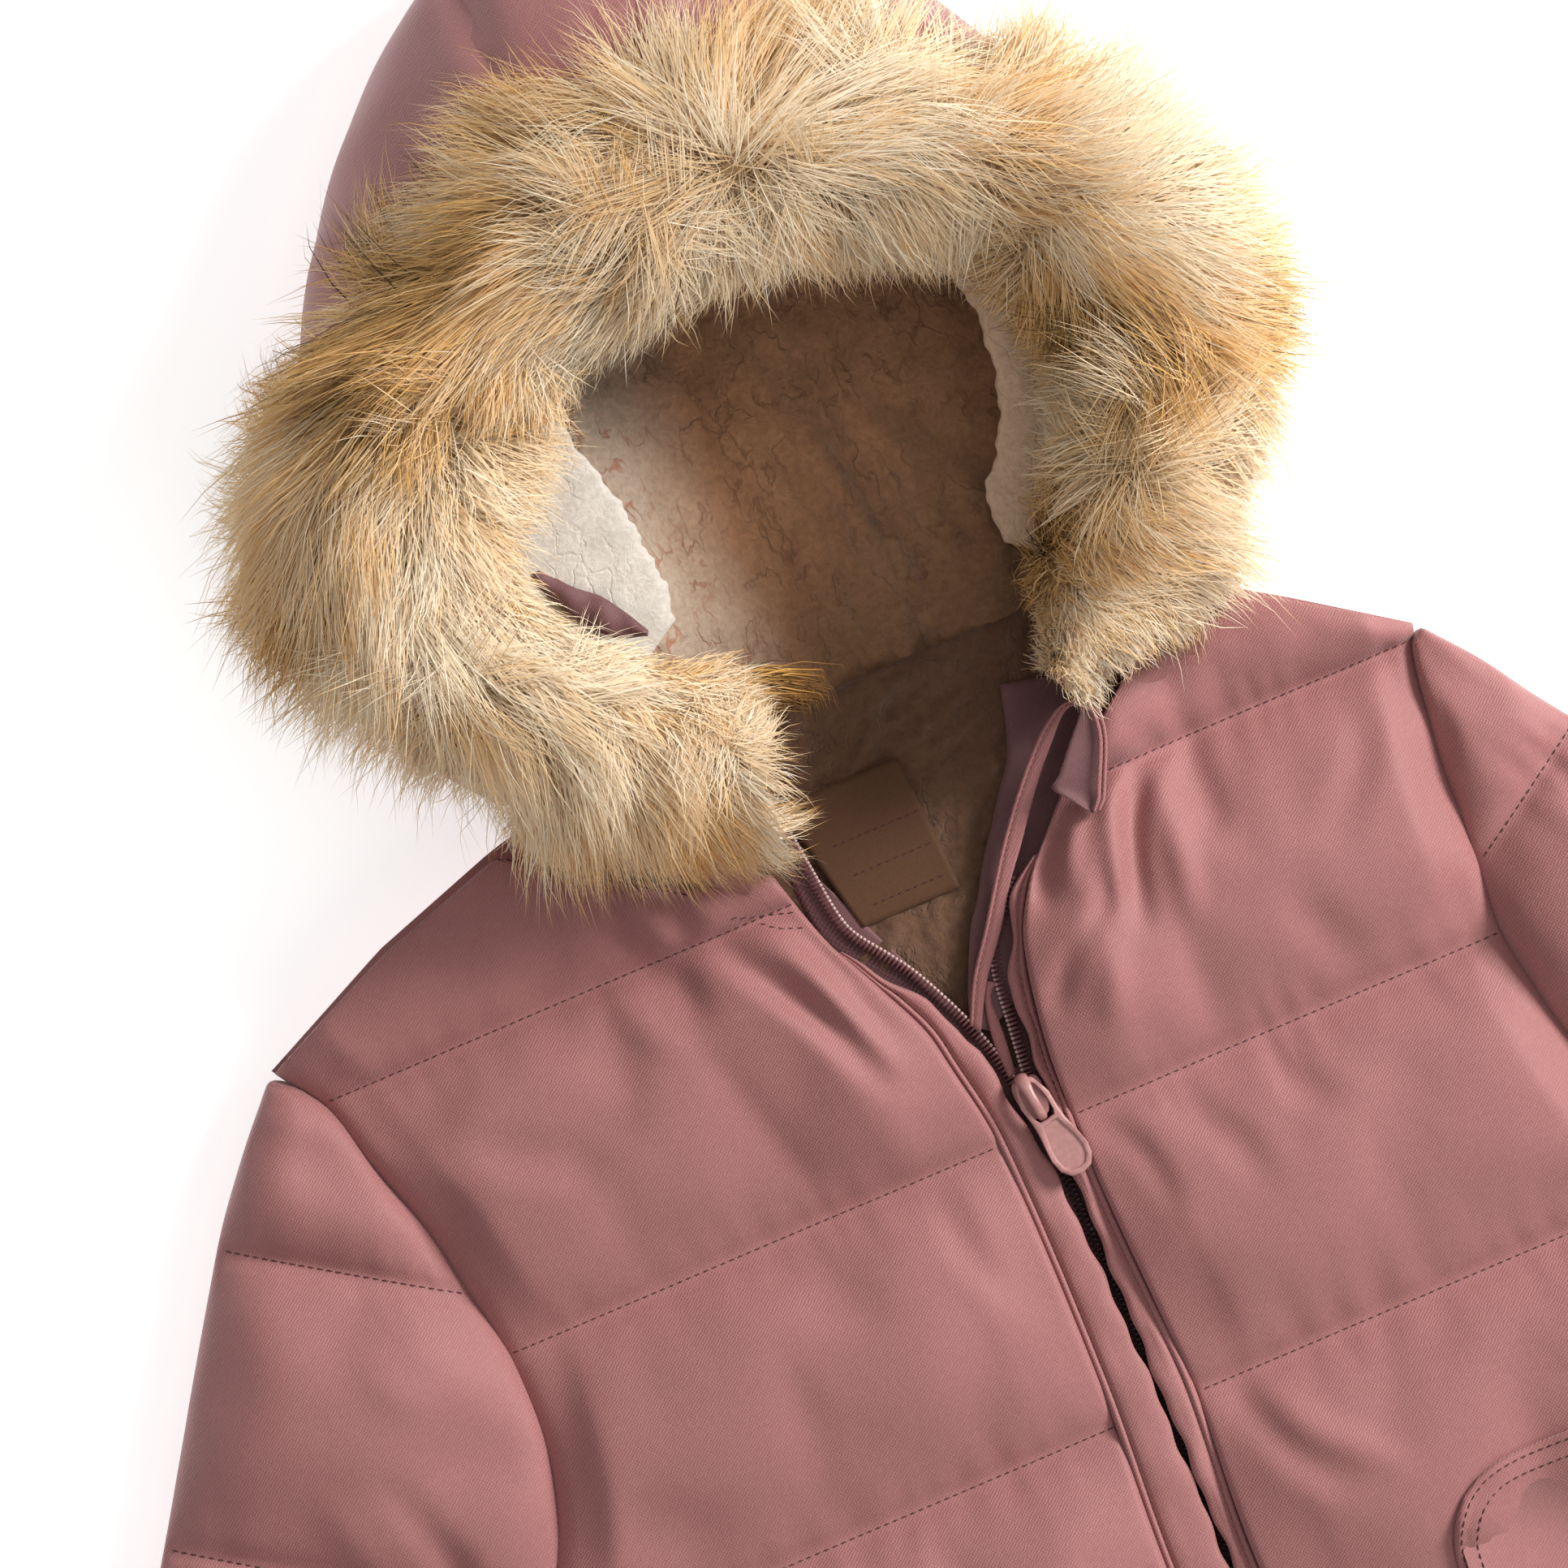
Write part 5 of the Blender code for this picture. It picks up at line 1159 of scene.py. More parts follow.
def make_band():
    """The white sherpa band turned in under the hood's edge."""
    over, under = [], []
    for a in np.linspace(BAND[0][0], BAND[-1][0], 190):
        _, rim, _, _, _, rim_z = hood_row(a)
        reach = min(curve_value(BAND, a), rim - 5.0) + 0.35 * math.sin(a * 0.55) + 0.25 * math.sin(a * 1.3)
        z = rim_z - (SHELL_WALL + 5.0)
        keys = [(0, rim - 0.5, z), (1, (rim + reach) / 2.0, z - 0.5), (2, reach + 1.0, z - 2.2),
                (2.6, reach, z - 4.2),
                (3, reach + 1.2, z - 5.6)]
        top = [hood_place(a, curve_value(keys, k, 1), curve_value(keys, k, 2)) for k in np.linspace(0, 3, 18)]
        over.append(top)
        under.append([(px, py, pz - 2.2) for px, py, pz in top])
    over, under = np.array(over), np.array(under)
    over[..., 2] += 0.22 * ripple(over, 9.0, 51) + 0.10 * ripple(over, 3.0, 52)
    piece = layer_mesh("turned_band", over, under, white_sherpa)
    # Faces past x = 18 mm take the darker band sherpa: painted shade where the fur shades the band.
    piece.data.materials.append(shaded_band_sherpa)
    for face in piece.data.polygons:
        if face.center.x > 0.018:
            face.material_index = 1
    return piece


def make_mauve_patch():
    """The bit of facing that shows beside the hood's band, in the darker facing cloth, which is painted shade."""
    keys = [(0, -58.0, 150.0, -55.0, 150.5), (1, -55.5, 143.0, -49.8, 144.0), (2, -51.5, 136.5, -45.2, 140.0),
            (3, -46.0, 130.0, -41.8, 135.2), (4, -38.6, 127.2, -38.0, 128.4)]
    over = [[(curve_value(keys, u, 1) * (1 - g) + curve_value(keys, u, 3) * g,
              curve_value(keys, u, 2) * (1 - g) + curve_value(keys, u, 4) * g,
              41.5 + 1.2 * math.sin(g * math.pi) + 0.4 * math.sin(u * 5 + g * 3)) for g in np.linspace(0, 1, 8)]
            for u in np.linspace(0, 4, 30)]
    over = np.array(over)
    return layer_mesh("band_facing", over, over - [0, 0, 1.0], shaded_facing_cloth)


# ---- fur -------------------------------------------------------------------------------------------------
def fur_arch(angle):
    """Keys of the undercoat over the hood's edge, inner foot to outer foot, as radius and height."""
    shell, rim, fur_in, fur_out, foot, rim_z = hood_row(angle)
    wide = fur_out - fur_in
    low = 30.0 if fur_out > shell - 3.0 else rim_z - 4.0
    outer = min(fur_out - 19.0, shell + 3.0) if fur_out > shell - 3.0 else fur_out - 18.0
    if foot > 6.0:
        low, outer = foot + 10.0, fur_out - 9.0
    outer = max(outer, rim + 8.0)
    return [(rim - 2.0, rim_z - 3.0), (fur_in + 10.5, rim_z + 3.0), (fur_in + 0.22 * wide + 5.5, rim_z + 13.0),
            (fur_in + 0.5 * wide, rim_z + 16.0), (outer - 4.0, rim_z + 6.0), (outer, (rim_z + low) / 2),
            (outer - 3.0, low)]


ARCH_ANGLES = np.linspace(HOOD[0][0] + 1.0, HOOD[-1][0] - 1.0, 152)
ARCH = np.array([[[curve_value([(i, *k) for i, k in enumerate(fur_arch(a))], s * 6, c) for c in (1, 2)]
                  for s in np.linspace(0, 1, 31)] for a in ARCH_ANGLES])


def arch_at(angles, s):
    """Place, outward normal, across and along directions on the undercoat."""
    u = np.clip((angles - ARCH_ANGLES[0]) / (ARCH_ANGLES[1] - ARCH_ANGLES[0]), 0, len(ARCH_ANGLES) - 1.001)
    w = np.clip(s * 30, 0, 29.999)
    i, j = u.astype(int), w.astype(int)
    fu, fw = (u - i)[..., None], (w - j)[..., None]
    a00, a10, a01, a11 = ARCH[i, j], ARCH[i + 1, j], ARCH[i, j + 1], ARCH[i + 1, j + 1]
    here = (a00 * (1 - fu) + a10 * fu) * (1 - fw) + (a01 * (1 - fu) + a11 * fu) * fw
    slope = (a01 - a00) * (1 - fu) + (a11 - a10) * fu
    slope /= np.linalg.norm(slope, axis=-1, keepdims=True) + 1e-9
    turn = np.radians(angles)
    radial = np.stack([np.cos(turn), np.sin(turn), np.zeros_like(turn)], -1)
    ring = np.stack([-np.sin(turn), np.cos(turn), np.zeros_like(turn)], -1)
    rise = np.array([0.0, 0.0, 1.0])
    place = np.stack([HOOD_CENTRE[0] + here[..., 0] * np.cos(turn), HOOD_CENTRE[1] + here[..., 0] * np.sin(turn),
                      here[..., 1]], -1)
    across = radial * slope[..., :1] + rise * slope[..., 1:]
    normal = -radial * slope[..., 1:] + rise * slope[..., :1]
    return place, normal, across, ring


def unit(v):
    return v / (np.linalg.norm(v, axis=-1, keepdims=True) + 1e-9)


def make_undercoat():
    grid_a, grid_s = np.meshgrid(ARCH_ANGLES, np.linspace(0, 1, 25), indexing="ij")
    place, normal, _, _ = arch_at(grid_a, grid_s)
    place = place + normal * (1.3 * ripple(place, 16.0, 61) + 0.7 * ripple(place, 6.0, 62))[..., None]
    rows, cols = grid_a.shape
    quads = grid_quads(rows, cols, 0, True)
    ends = [list(range(cols)), list(range((rows - 1) * cols, rows * cols))]
    piece = mesh_piece("fur_undercoat", place.reshape(-1, 3), [*quads.tolist(), *ends], undercoat)
    return piece


FLOW = [(-60, -0.8), (-40, -0.5), (-15, -0.2), (20, -0.35), (50, -0.6), (76, -0.35), (96, 0.1), (120, 0.7),
        (140, 0.85), (170, 0.5), (190, 0.3), (212, 0.7), (243, 1.0)]
# markings of the fur: x, y, radius, tone (0 cream, 0.7 gold, 1 dark brown); the darkest, 0.85 and over, near the
# fur's inner edge, are painted shade
MARKS = [(-6, 205, 14, 0.05), (92, 197, 14, 0.05), (81, 105, 20, 0.05), (59, 88, 12, 0.05), (-70, 157, 18, 0.15),
         (-61, 121, 16, 0.12), (-31, 101, 10, 0.1), (55, 190, 12, 0.1), (31, 198, 14, 0.18), (-103, 180, 10, 0.3),
         (40, 91, 8, 0.15), (111, 175, 16, 0.15), (-50, 203, 14, 0.62), (-61, 217, 12, 0.68), (-50, 167, 9, 0.72),
         (-61, 159, 7, 0.66), (-93, 208, 14, 0.74), (-8, 239, 12, 0.62), (27, 234, 10, 0.6), (67, 172, 12, 0.72),
         (40, 185, 8, 0.5), (80, 76, 9, 0.8), (-45, 95, 10, 0.62), (-99, 124, 12, 0.5), (121, 149, 10, 0.55),
         (78, 118, 8, 0.6), (-43, 132, 7, 0.85), (56, 112, 9, 0.98), (61, 156, 8, 0.9), (57, 164, 6, 0.95),
         (-34, 125, 6, 0.9)]


def fur_tone(place, own):
    """Tone of each lock: listed markings over smooth noise."""
    total, weight = 0.45 * own, np.full(len(place), 0.45)
    for x, y, radius, tone in MARKS:
        near = 1.5 * np.exp(-((place[:, 0] - x) ** 2 + (place[:, 1] - y) ** 2) / radius ** 2)
        total, weight = total + near * tone, weight + near
    return total / weight


def hair_mesh(name, path, facing, above, wide, u, v):
    """One mesh of thin tapered strands: path holds four stations of each, the last its point."""
    n = len(path)
    head = unit(path[:, 1:] - path[:, :-1])
    side = unit(np.cross(head, facing[:, None, :]))
    half = wide[:, :3, None]
    verts = np.concatenate([(path[:, :3] - side * half)[:, :, None], (path[:, :3] + side * half)[:, :, None]], 2)
    verts = np.concatenate([verts.reshape(n, 6, 3), path[:, 3:]], 1)
    lean = np.concatenate([np.stack([-side, side], 2).reshape(n, 6, 3) * 0.4, np.zeros((n, 1, 3))], 1)
    normals = unit(above[:, None, :] + lean + facing[:, None, :] * 0.35)
    loops = (np.arange(n)[:, None] * 7 + np.array([0, 1, 3, 2, 2, 3, 5, 4, 4, 5, 6])).ravel()
    starts = (np.arange(n)[:, None] * 11 + np.array([0, 4, 8])).ravel()
    mesh = bpy.data.meshes.new(name)
    mesh.vertices.add(n * 7)
    mesh.vertices.foreach_set("co", (verts * MM).astype(np.float32).ravel())
    mesh.loops.add(len(loops))
    mesh.loops.foreach_set("vertex_index", loops.astype(np.int32))
    mesh.polygons.add(len(starts))
    mesh.polygons.foreach_set("loop_start", starts.astype(np.int32))
    mesh.update(calc_edges=True)
    mesh.materials.append(hair)
    u = np.concatenate([np.repeat(u[:, :3], 2, 1), u[:, 3:]], 1)
    uv = np.stack([u, np.repeat(v[:, None], 7, 1)], -1).reshape(-1, 2)
    layer = mesh.uv_layers.new(name="hair")
    layer.data.foreach_set("uv", np.clip(uv, 0.002, 0.998)[loops].astype(np.float32).ravel())
    mesh.shade_smooth()
    mesh.normals_split_custom_set_from_vertices(normals.reshape(-1, 3).tolist())
    piece = bpy.data.objects.new(name, mesh)
    bpy.context.scene.collection.objects.link(piece)
    return piece


def grow_fur(name, first, last, locks, each, seed):
    """Hairs in loose locks between two angles round the hood."""
    rng = np.random.default_rng(seed)
    a0 = rng.uniform(first, last, locks)
    s0 = rng.uniform(0.02, 0.99, locks)
    right_end, left_end = smoothstep(a0, 216, 243), smoothstep(-a0, 30, 52)
    ends = np.maximum(right_end, left_end)
    fur_w = np.array([curve_value(HOOD, a, 4) - curve_value(HOOD, a, 3) for a in a0])
    length = np.clip(18.0 + 0.25 * fur_w, 20, 35) * rng.uniform(0.8, 1.12, locks)
    length *= np.interp(s0, [0, 0.15, 0.3, 0.45, 1], [0.42, 0.46, 0.62, 0.95, 1.0])
    length *= 1 - 0.35 * right_end - 0.70 * left_end
    length += 5.0 * smoothstep(a0, 18, 30) * smoothstep(-a0, -66, -52) * smoothstep(s0, 0.5, 0.8)
    length += 9.0 * smoothstep(a0, 140, 150) * smoothstep(-a0, -172, -160) * smoothstep(-s0, -0.35, -0.2)
    place, normal, across, ring = arch_at(a0, s0)
    lay = np.interp(s0, [0.0, 0.12, 0.26, 0.38, 0.55, 1.0], [-0.5, -0.65, -0.25, 0.35, 0.85, 0.9])
    lay = lay + (0.30 * ripple(place, 60.0, 78) + 0.34 * ripple(place, 24.0, 79)) * np.interp(
        s0, [0, 0.3, 0.5, 0.8, 1], [0.3, 1, 1, 0.45, 0.15])
    way = np.array([curve_value(FLOW, a) for a in a0]) * np.interp(
        s0, [0, 0.2, 0.45, 0.8, 1.0], [0.35, 0.5, 1.0, 0.85, 0.5])
    way = way + 0.36 * ripple(place, 55.0, 77) + 0.38 * ripple(place, 22.0, 76) + 0.14 * rng.normal(size=locks)
    rise = np.interp(s0, [0, 0.15, 0.4, 0.7, 1], [0.35, 0.5, 0.55, 0.42, 0.30]) * rng.uniform(0.8, 1.2, locks)
    begin = unit(normal * (rise + 0.30)[:, None] + across * lay[:, None] * 0.8 + ring * (way * 0.7)[:, None])
    finish = unit(normal * (rise * 0.02)[:, None] + across * lay[:, None] + ring * (way * 1.15)[:, None]
                  + np.array([0, 0, -0.14]))
    own = 0.36 + 0.30 * ripple(place, 40.0, 91) + 0.16 * ripple(place, 13.0, 92)
    tone = fur_tone(place, own) + 0.13 * rng.normal(size=locks) + 0.10 * ripple(place, 9.0, 93)
    # Tone rises at both feet of the fur: dark tips at the outer edge, painted shade at the inner edge.
    tone = tone + 0.22 * smoothstep(s0, 0.72, 1.0) + 0.26 * smoothstep(-s0, -0.16, 0.0)
    steps = np.array([0.0, 0.36, 0.70, 1.0])
    guide = [np.zeros((locks, 3))]
    for f, g in zip(steps, steps[1:]):
        middle = (f + g) / 2
        guide.append(guide[-1] + unit(begin * (1 - middle) + finish * middle) * (length * (g - f))[:, None])
    guide = np.stack(guide, 1)
    spread = rng.normal(size=(locks, each, 2)) * 3.2
    own_a = np.clip(a0[:, None] + np.degrees(spread[..., 0] / 85.0), ARCH_ANGLES[0], ARCH_ANGLES[-1])
    own_s = np.clip(s0[:, None] + spread[..., 1] / 95.0, 0.0, 1.0)
    roots, up, _, _ = arch_at(own_a, own_s)
    roots = roots - up * 1.2
    off = roots - place[:, None, :]
    pull_in = rng.uniform(-0.1, 0.42, (locks, each))
    guard_hair = rng.random((locks, each)) < 0.06
    scale = rng.uniform(0.62, 1.05, (locks, each)) + guard_hair * 0.24
    jitter = rng.normal(size=(locks, each, 3)) * 1.5
    sway = rng.normal(size=(locks, each, 3)) * 1.1
    f = steps[None, None, :, None]
    path = (roots[:, :, None, :] + guide[:, None, :, :] * scale[..., None, None]
            - off[:, :, None, :] * pull_in[..., None, None] * f ** 2
            + jitter[:, :, None, :] * f ** 1.5 + sway[:, :, None, :] * np.sin(math.pi * f))
    path[..., 2] = np.maximum(path[..., 2], 2.0)
    n = locks * each
    above = up.reshape(n, 3)
    facing = unit(above + rng.normal(size=(n, 3)) * 0.3)
    wide = np.array([0.15, 0.14, 0.09, 0.0]) * rng.uniform(0.7, 1.2, (n, 1))
    rim = np.maximum(smoothstep(s0, 0.72, 0.95), smoothstep(-s0, -0.16, -0.02))
    rim = np.maximum(rim, 0.8 * ends)
    tip = 0.48 + 0.22 * rng.random((locks, each)) + (0.10 + 0.42 * rng.random((locks, each))) * rim[:, None]
    tip = np.clip(tip + guard_hair * 0.34, 0, 1).reshape(n, 1)
    v = np.repeat(np.clip(tone, 0.02, 0.98), each) + rng.normal(size=n) * 0.07
    return hair_mesh(name, path.reshape(n, 4, 3), facing, above, wide, steps[None, :] * tip, v)


def grow_tuft():
    """The dark tuft at the fur's inner end, over the lining."""
    rng = np.random.default_rng(321)
    n = 520
    root = np.array([-23.5, 108.0, 34.0]) + rng.normal(size=(n, 3)) * [2.2, 1.7, 1.4]
    reach = rng.uniform(0.6, 1.05, n)[:, None]
    keys = np.array([(0, 0, 0), (8.0, -2.2, 2.5), (15.0, -6.4, 1.0), (14.6, -11.0, -3.0)])
    path = (root[:, None, :] + keys[None] * reach[:, :, None]
            + rng.normal(size=(n, 1, 3)) * (np.arange(4) * 0.45)[None, :, None])
    above = np.tile([0.0, 0.15, 1.0], (n, 1))
    facing = unit(above + rng.normal(size=(n, 3)) * 0.3)
    wide = np.array([0.15, 0.13, 0.09, 0.0]) * rng.uniform(0.7, 1.2, (n, 1))
    tone = np.clip(0.84 + 0.16 * rng.normal(size=n), 0, 1)
    along = np.array([[0.30, 0.62, 0.84, 1.0]]) * np.ones((n, 1))
    return hair_mesh("fur_tuft", path, facing, above, wide, along, tone)


# ---- neck, label and zip ------------------------------------------------------------------------------------
def make_neck_lining():
    rows = [(4.0, -7.0, 7.0), (24.0, -24.0, 18.0), (45.0, -37.0, 30.0), (62.0, -46.0, 42.0),
            (80.0, -52.0, 54.0), (100.2, -58.0, 62.0)]
    over = []
    for y in np.linspace(4.0, 100.2, 74):
        x0, x1 = curve_value(rows, y, 1), curve_value(rows, y, 2)
        over.append([(x0 + (x1 - x0) * f, y, FRONT_UNDER + 2.6 - 1.2 * (abs(2 * f - 1) > 0.97))
                     for f in np.linspace(0, 1, 66)])
    over = np.array(over)
    high = smoothstep(over[..., 1], 22.0, 42.0)
    over[..., 2] += ((0.35 * ripple(over, 5.5, 71) + 0.22 * ripple(over, 3.2, 72) + 0.5 * ripple(over, 24.0, 73))
                     * (0.3 + 0.7 * high))
    over[..., 2] -= 1.7 * (1 - high) * (over[..., 2] > FRONT_UNDER + 2.0)
    over[..., 2] += 1.3 * np.exp(-((over[..., 1] - 96.0) / 3.0) ** 2)
    under = over.copy()
    under[..., 2] = FRONT_UNDER
    # The neck pile's dark brown is painted shade.
    piece = layer_mesh("neck_lining_pile", over, under, shaded_neck_sherpa)
    return piece


def make_label():
    corners = np.array([(-27.0, 80.0), (3.0, 80.0), (4.5, 47.0), (-20.0, 47.0)])
    over = []
    for f in np.linspace(0, 1, 22):
        left, right = corners[0] + (corners[3] - corners[0]) * f, corners[1] + (corners[2] - corners[1]) * f
        over.append([(*(left + (right - left) * g), FRONT_UNDER + 4.3 + 0.35 * math.sin(f * 4 + g * 2))
                     for g in np.linspace(0, 1, 22)])
    over = np.array(over)
    # The label's dark tan is painted shade at the neck.
    piece = layer_mesh("bare_label", over, over - [0, 0, 0.5], shaded_label_cloth)
    return piece


def coil_path(side, count):
    return np.array(smooth_path(COIL_LINE[side], count))


def make_tape(side):
    hand = -1.0 if side == "right" else 1.0
    upper = coil_path(side, 60)
    over = [[(hand * 3.4 + 0.6 + hand * g, y, 11.2) for g in np.linspace(-2.6, 2.6, 5)]
            for y in np.linspace(HEM_Y + 6.0, -3.0, 50)]
    for i, (x, y, z) in enumerate(upper):
        # The left tape widens towards the top to lie in the dark gap beside the guard: a dark sheet that stands for
        # shade.
        width = 6.0 + (6.0 * smoothstep(i, 10, 50) if side == "left" else -2.0 * smoothstep(i, 30, 59))
        ahead = upper[min(i + 1, 59)] - upper[max(i - 1, 0)]
        n = np.array([ahead[1], -ahead[0]])
        n = n / np.linalg.norm(n) * (1 if n[0] * hand > 0 else -1)
        over.append([(x + n[0] * g, y + n[1] * g, z - 0.8) for g in np.linspace(-0.6, width, 5)])
    over = np.array(over)
    return layer_mesh(f"woven_tape_{side}", over, over - [0, 0, 0.6], tape_and_shade_cloth)


def make_coil(side):
    """The nylon coil: rounded turns one after another along the tape's edge."""
    hand = -1.0 if side == "right" else 1.0
    line = spaced_path(COIL_LINE[side], 1.08)
    verts, quads = [], []
    ring = [(math.cos(a), math.sin(a)) for a in np.linspace(0, 2 * math.pi, 7)[:-1]]
    base = np.concatenate([grid_quads(4, 6, 0, True),
                           [[0, 1, 2, 3], [0, 3, 4, 5], [18, 19, 20, 21], [18, 21, 22, 23]]])
    low = [np.array([0.6, y, 10.9]) for y in np.arange(HEM_Y + 9.0, -6.0, 1.25)]
    chain = [(p, np.array([0.0, 1.0, 0.0])) for p in (low if side == "right" else [])]
    for i, p in enumerate(line):
        ahead = line[min(i + 1, len(line) - 1)] - line[max(i - 1, 0)]
        chain.append((p, ahead / np.linalg.norm(ahead)))
    for place, along in chain:
        side_way = np.array([along[1], -along[0], 0.0])
        side_way /= np.linalg.norm(side_way)
        side_way *= 1.0 if side_way[0] * hand > 0 else -1.0
        up = np.cross(along, side_way)
        up = up if up[2] > 0 else -up
        start = len(verts)
        for f, size in ((-1.4, 0.50), (-0.85, 0.68), (0.7, 0.42), (1.35, 0.22)):
            centre = place + side_way * f + up * (0.3 - 0.25 * f)
            for c, r in ring:
                verts.append(centre + along * c * size * 0.74 + up * r * size)
        quads.append(base + start)
    piece = mesh_piece(f"coil_{side}", np.array(verts), np.concatenate(quads), coil_plastic)
    # Slot 1 paints a glint on the raised heads of the turns.
    piece.data.materials.append(glint_head_plastic)
    # Slot 2 paints shade on the closed coil in the slit below the slider.
    piece.data.materials.append(shaded_slit_plastic)
    slit = sum(1 for place, _ in chain if place[1] < -5.0) * 24
    for face in piece.data.polygons:
        turn = [v % 24 for v in face.vertices]
        if max(face.vertices) < slit:
            face.material_index = 2
        elif max(turn) < 12 and face.center.z > 0.0125:
            face.material_index = 1
    return piece


def strip_line(side, y):
    """Outer and inner x and the lift of the cloth strip beside the zip."""
    hand = -1.0 if side == "right" else 1.0
    outer = curve_value(FRONT_EDGE[side], y) + hand * 0.4
    inner = curve_value(STRIP_INNER[side], y) - hand * (0.3 * math.sin(y * 0.5) + 0.25 * math.sin(y * 0.23))
    if (outer - inner) * hand < 0.9:
        inner = outer - hand * 0.9
    return outer, inner, 2.8 * min(max(y / 30.0, 0.0), 1.0)


def make_strip(side, top):
    """The narrow facing beside the zip: a piped rib, a stitched groove and a soft flat."""
    profile = [(0.0, -1.2), (0.35, 0.0), (0.9, 0.55), (1.5, 0.35), (1.9, -0.75), (2.3, 0.15), (3.2, 0.75)]
    over, under = [], []
    for y in np.linspace(HEM_Y + 2.0, top, 210):
        outer, inner, lift = strip_line(side, y)
        hand = 1.0 if outer > inner else -1.0
        width = abs(outer - inner)
        soft = 0.35 * math.sin(y * 0.31) + 0.25 * math.sin(y * 0.13 + 1.0)
        squeeze = min(1.0, width / 4.6)
        row = [(outer - hand * d * squeeze, y, 16.2 + lift + h * squeeze) for d, h in profile]
        far = profile[-1][0] * squeeze
        for g in (0.25, 0.5, 0.75, 0.9, 1.0):
            d = far + (width - far) * g
            row.append((outer - hand * d, y,
                        16.2 + lift + (0.75 + soft * math.sin(g * 2.6)) * squeeze - 1.1 * g ** 6))
        over.append(row)
        under.append([(x, yy, 14.2 + lift) for x, yy, _ in row])
    return layer_mesh(f"zip_strip_{side}", np.array(over), np.array(under), cloth)


def make_guard():
    """The zip guard: a narrow doubled cloth that turns over at the top and ends in a folded tip."""
    keys = [(i, *row) for i, row in enumerate(GUARD)]
    over, under = [], []
    for u in np.linspace(0, len(GUARD) - 1, 130):
        x0, y0, x1, y1, z = (curve_value(keys, u, c) for c in range(1, 6))
        wide = math.dist((x0, y0), (x1, y1))
        row = []
        for d, h in ((0.0, -0.25), (0.15, 0.2), (0.45, 0.45), (0.8, 0.3), (1.05, -0.1), (1.35, 0.2), (2.0, 0.35)):
            g = min(d / max(wide, 2.4), 1.0) * 0.95
            row.append((x0 + (x1 - x0) * g, y0 + (y1 - y0) * g, z + h))
        start = min(2.0 / max(wide, 2.4), 1.0) * 0.95
        for g in np.linspace(start, 1.0, 7)[1:]:
            sag = smoothstep(u, 10, 14) * 1.6 * math.sin(math.pi * g) + (0.5 if g == 1.0 else 0.0)
            row.append((x0 + (x1 - x0) * g, y0 + (y1 - y0) * g, z + 0.35 - sag))
        over.append(row)
        under.append([(x, y, zz - 1.1) for x, y, zz in row])
    piece = layer_mesh("guard_cloth", np.array(over), np.array(under), cloth)
    # The inner side of the guard's folded tip takes the darker facing cloth: painted shade inside the loop.
    piece.data.materials.append(shaded_facing_cloth)
    for face in piece.data.polygons:
        across, along = face.vertices[0] % 13, (face.vertices[0] // 13) % 130
        if along > 66 and across >= 6:
            face.material_index = 1
    return piece


def make_facing():
    """The facing that lies in shade behind the guard and runs under the front; its darker cloth is painted shade,
    also in the dark gap inside the guard's loop.
    """
    keys = [(i, *row) for i, row in enumerate(FACING)]
    over = []
    for u in np.linspace(0, len(FACING) - 1, 60):
        x0, y0, x1, y1 = (curve_value(keys, u, c) for c in range(1, 5))
        over.append([(x0 + (x1 - x0) * g, y0 + (y1 - y0) * g,
                      14.6 - 1.6 * g ** 0.5 - (0.6 if g == 0 else 0) + 0.3 * math.sin(u * 2.4 + g * 4))
                      for g in np.linspace(0, 1, 16)])
    over = np.array(over)
    return layer_mesh("guard_facing", over, over - [0, 0, 0.8], shaded_facing_cloth)


def make_inner_facing():
    """A wedge of facing between the right coil and the neck lining, in darker cloth that is painted shade."""
    keys = [(0, -26.2, 63.0, -24.8, 61.5), (1, -25.8, 57.5, -22.2, 55.4), (2, -23.0, 46.6, -19.6, 49.0),
            (3, -17.5, 38.5, -15.6, 40.0), (4, -13.4, 32.2, -12.6, 33.0)]
    over = [[(curve_value(keys, u, 1) * (1 - g) + curve_value(keys, u, 3) * g,
              curve_value(keys, u, 2) * (1 - g) + curve_value(keys, u, 4) * g, 13.2 + 0.9 * max(0.0, 1 - u))
             for g in np.linspace(0, 1, 5)]
            for u in np.linspace(0, 4, 24)]
    over = np.array(over)
    return layer_mesh("inner_facing", over, over - [0, 0, 0.7], shaded_facing_cloth)


def make_guard_tail():
    """The end of the guard beside the left coil."""
    keys = [(0, 1.0, 25.0, 3.4, 23.6), (1, -1.0, 19.8, 0.9, 20.6), (2, -2.5, 11.4, 0.4, 12.6),
            (3, -2.6, 2.4, -0.6, 2.8)]
    over = [[(curve_value(keys, u, 1) * (1 - g) + curve_value(keys, u, 3) * g,
              curve_value(keys, u, 2) * (1 - g) + curve_value(keys, u, 4) * g,
              14.4 + 0.5 * math.sin(math.pi * g)) for g in np.linspace(0, 1, 7)] for u in np.linspace(0, 3, 24)]
    over = np.array(over)
    return layer_mesh("guard_tail", over, over - [0, 0, 0.9], cloth)


def turned(points, degrees):
    a = math.radians(degrees)
    points = np.asarray(points, float)
    x, y = points[..., 0].copy(), points[..., 1].copy()
    points[..., 0] = x * math.cos(a) - y * math.sin(a)
    points[..., 1] = x * math.sin(a) + y * math.cos(a)
    return points


def ring_mesh(name, rings, material, subdivisions=2):
    rings = np.asarray(rings, float)
    rows, cols = rings.shape[:2]
    faces = [*grid_quads(rows, cols, 0, True).tolist(), list(range(cols)),
             list(range((rows - 1) * cols, rows * cols))]
    piece = mesh_piece(name, rings.reshape(-1, 3), faces, material)
    if subdivisions:
        subdivide(piece, subdivisions)
    return piece


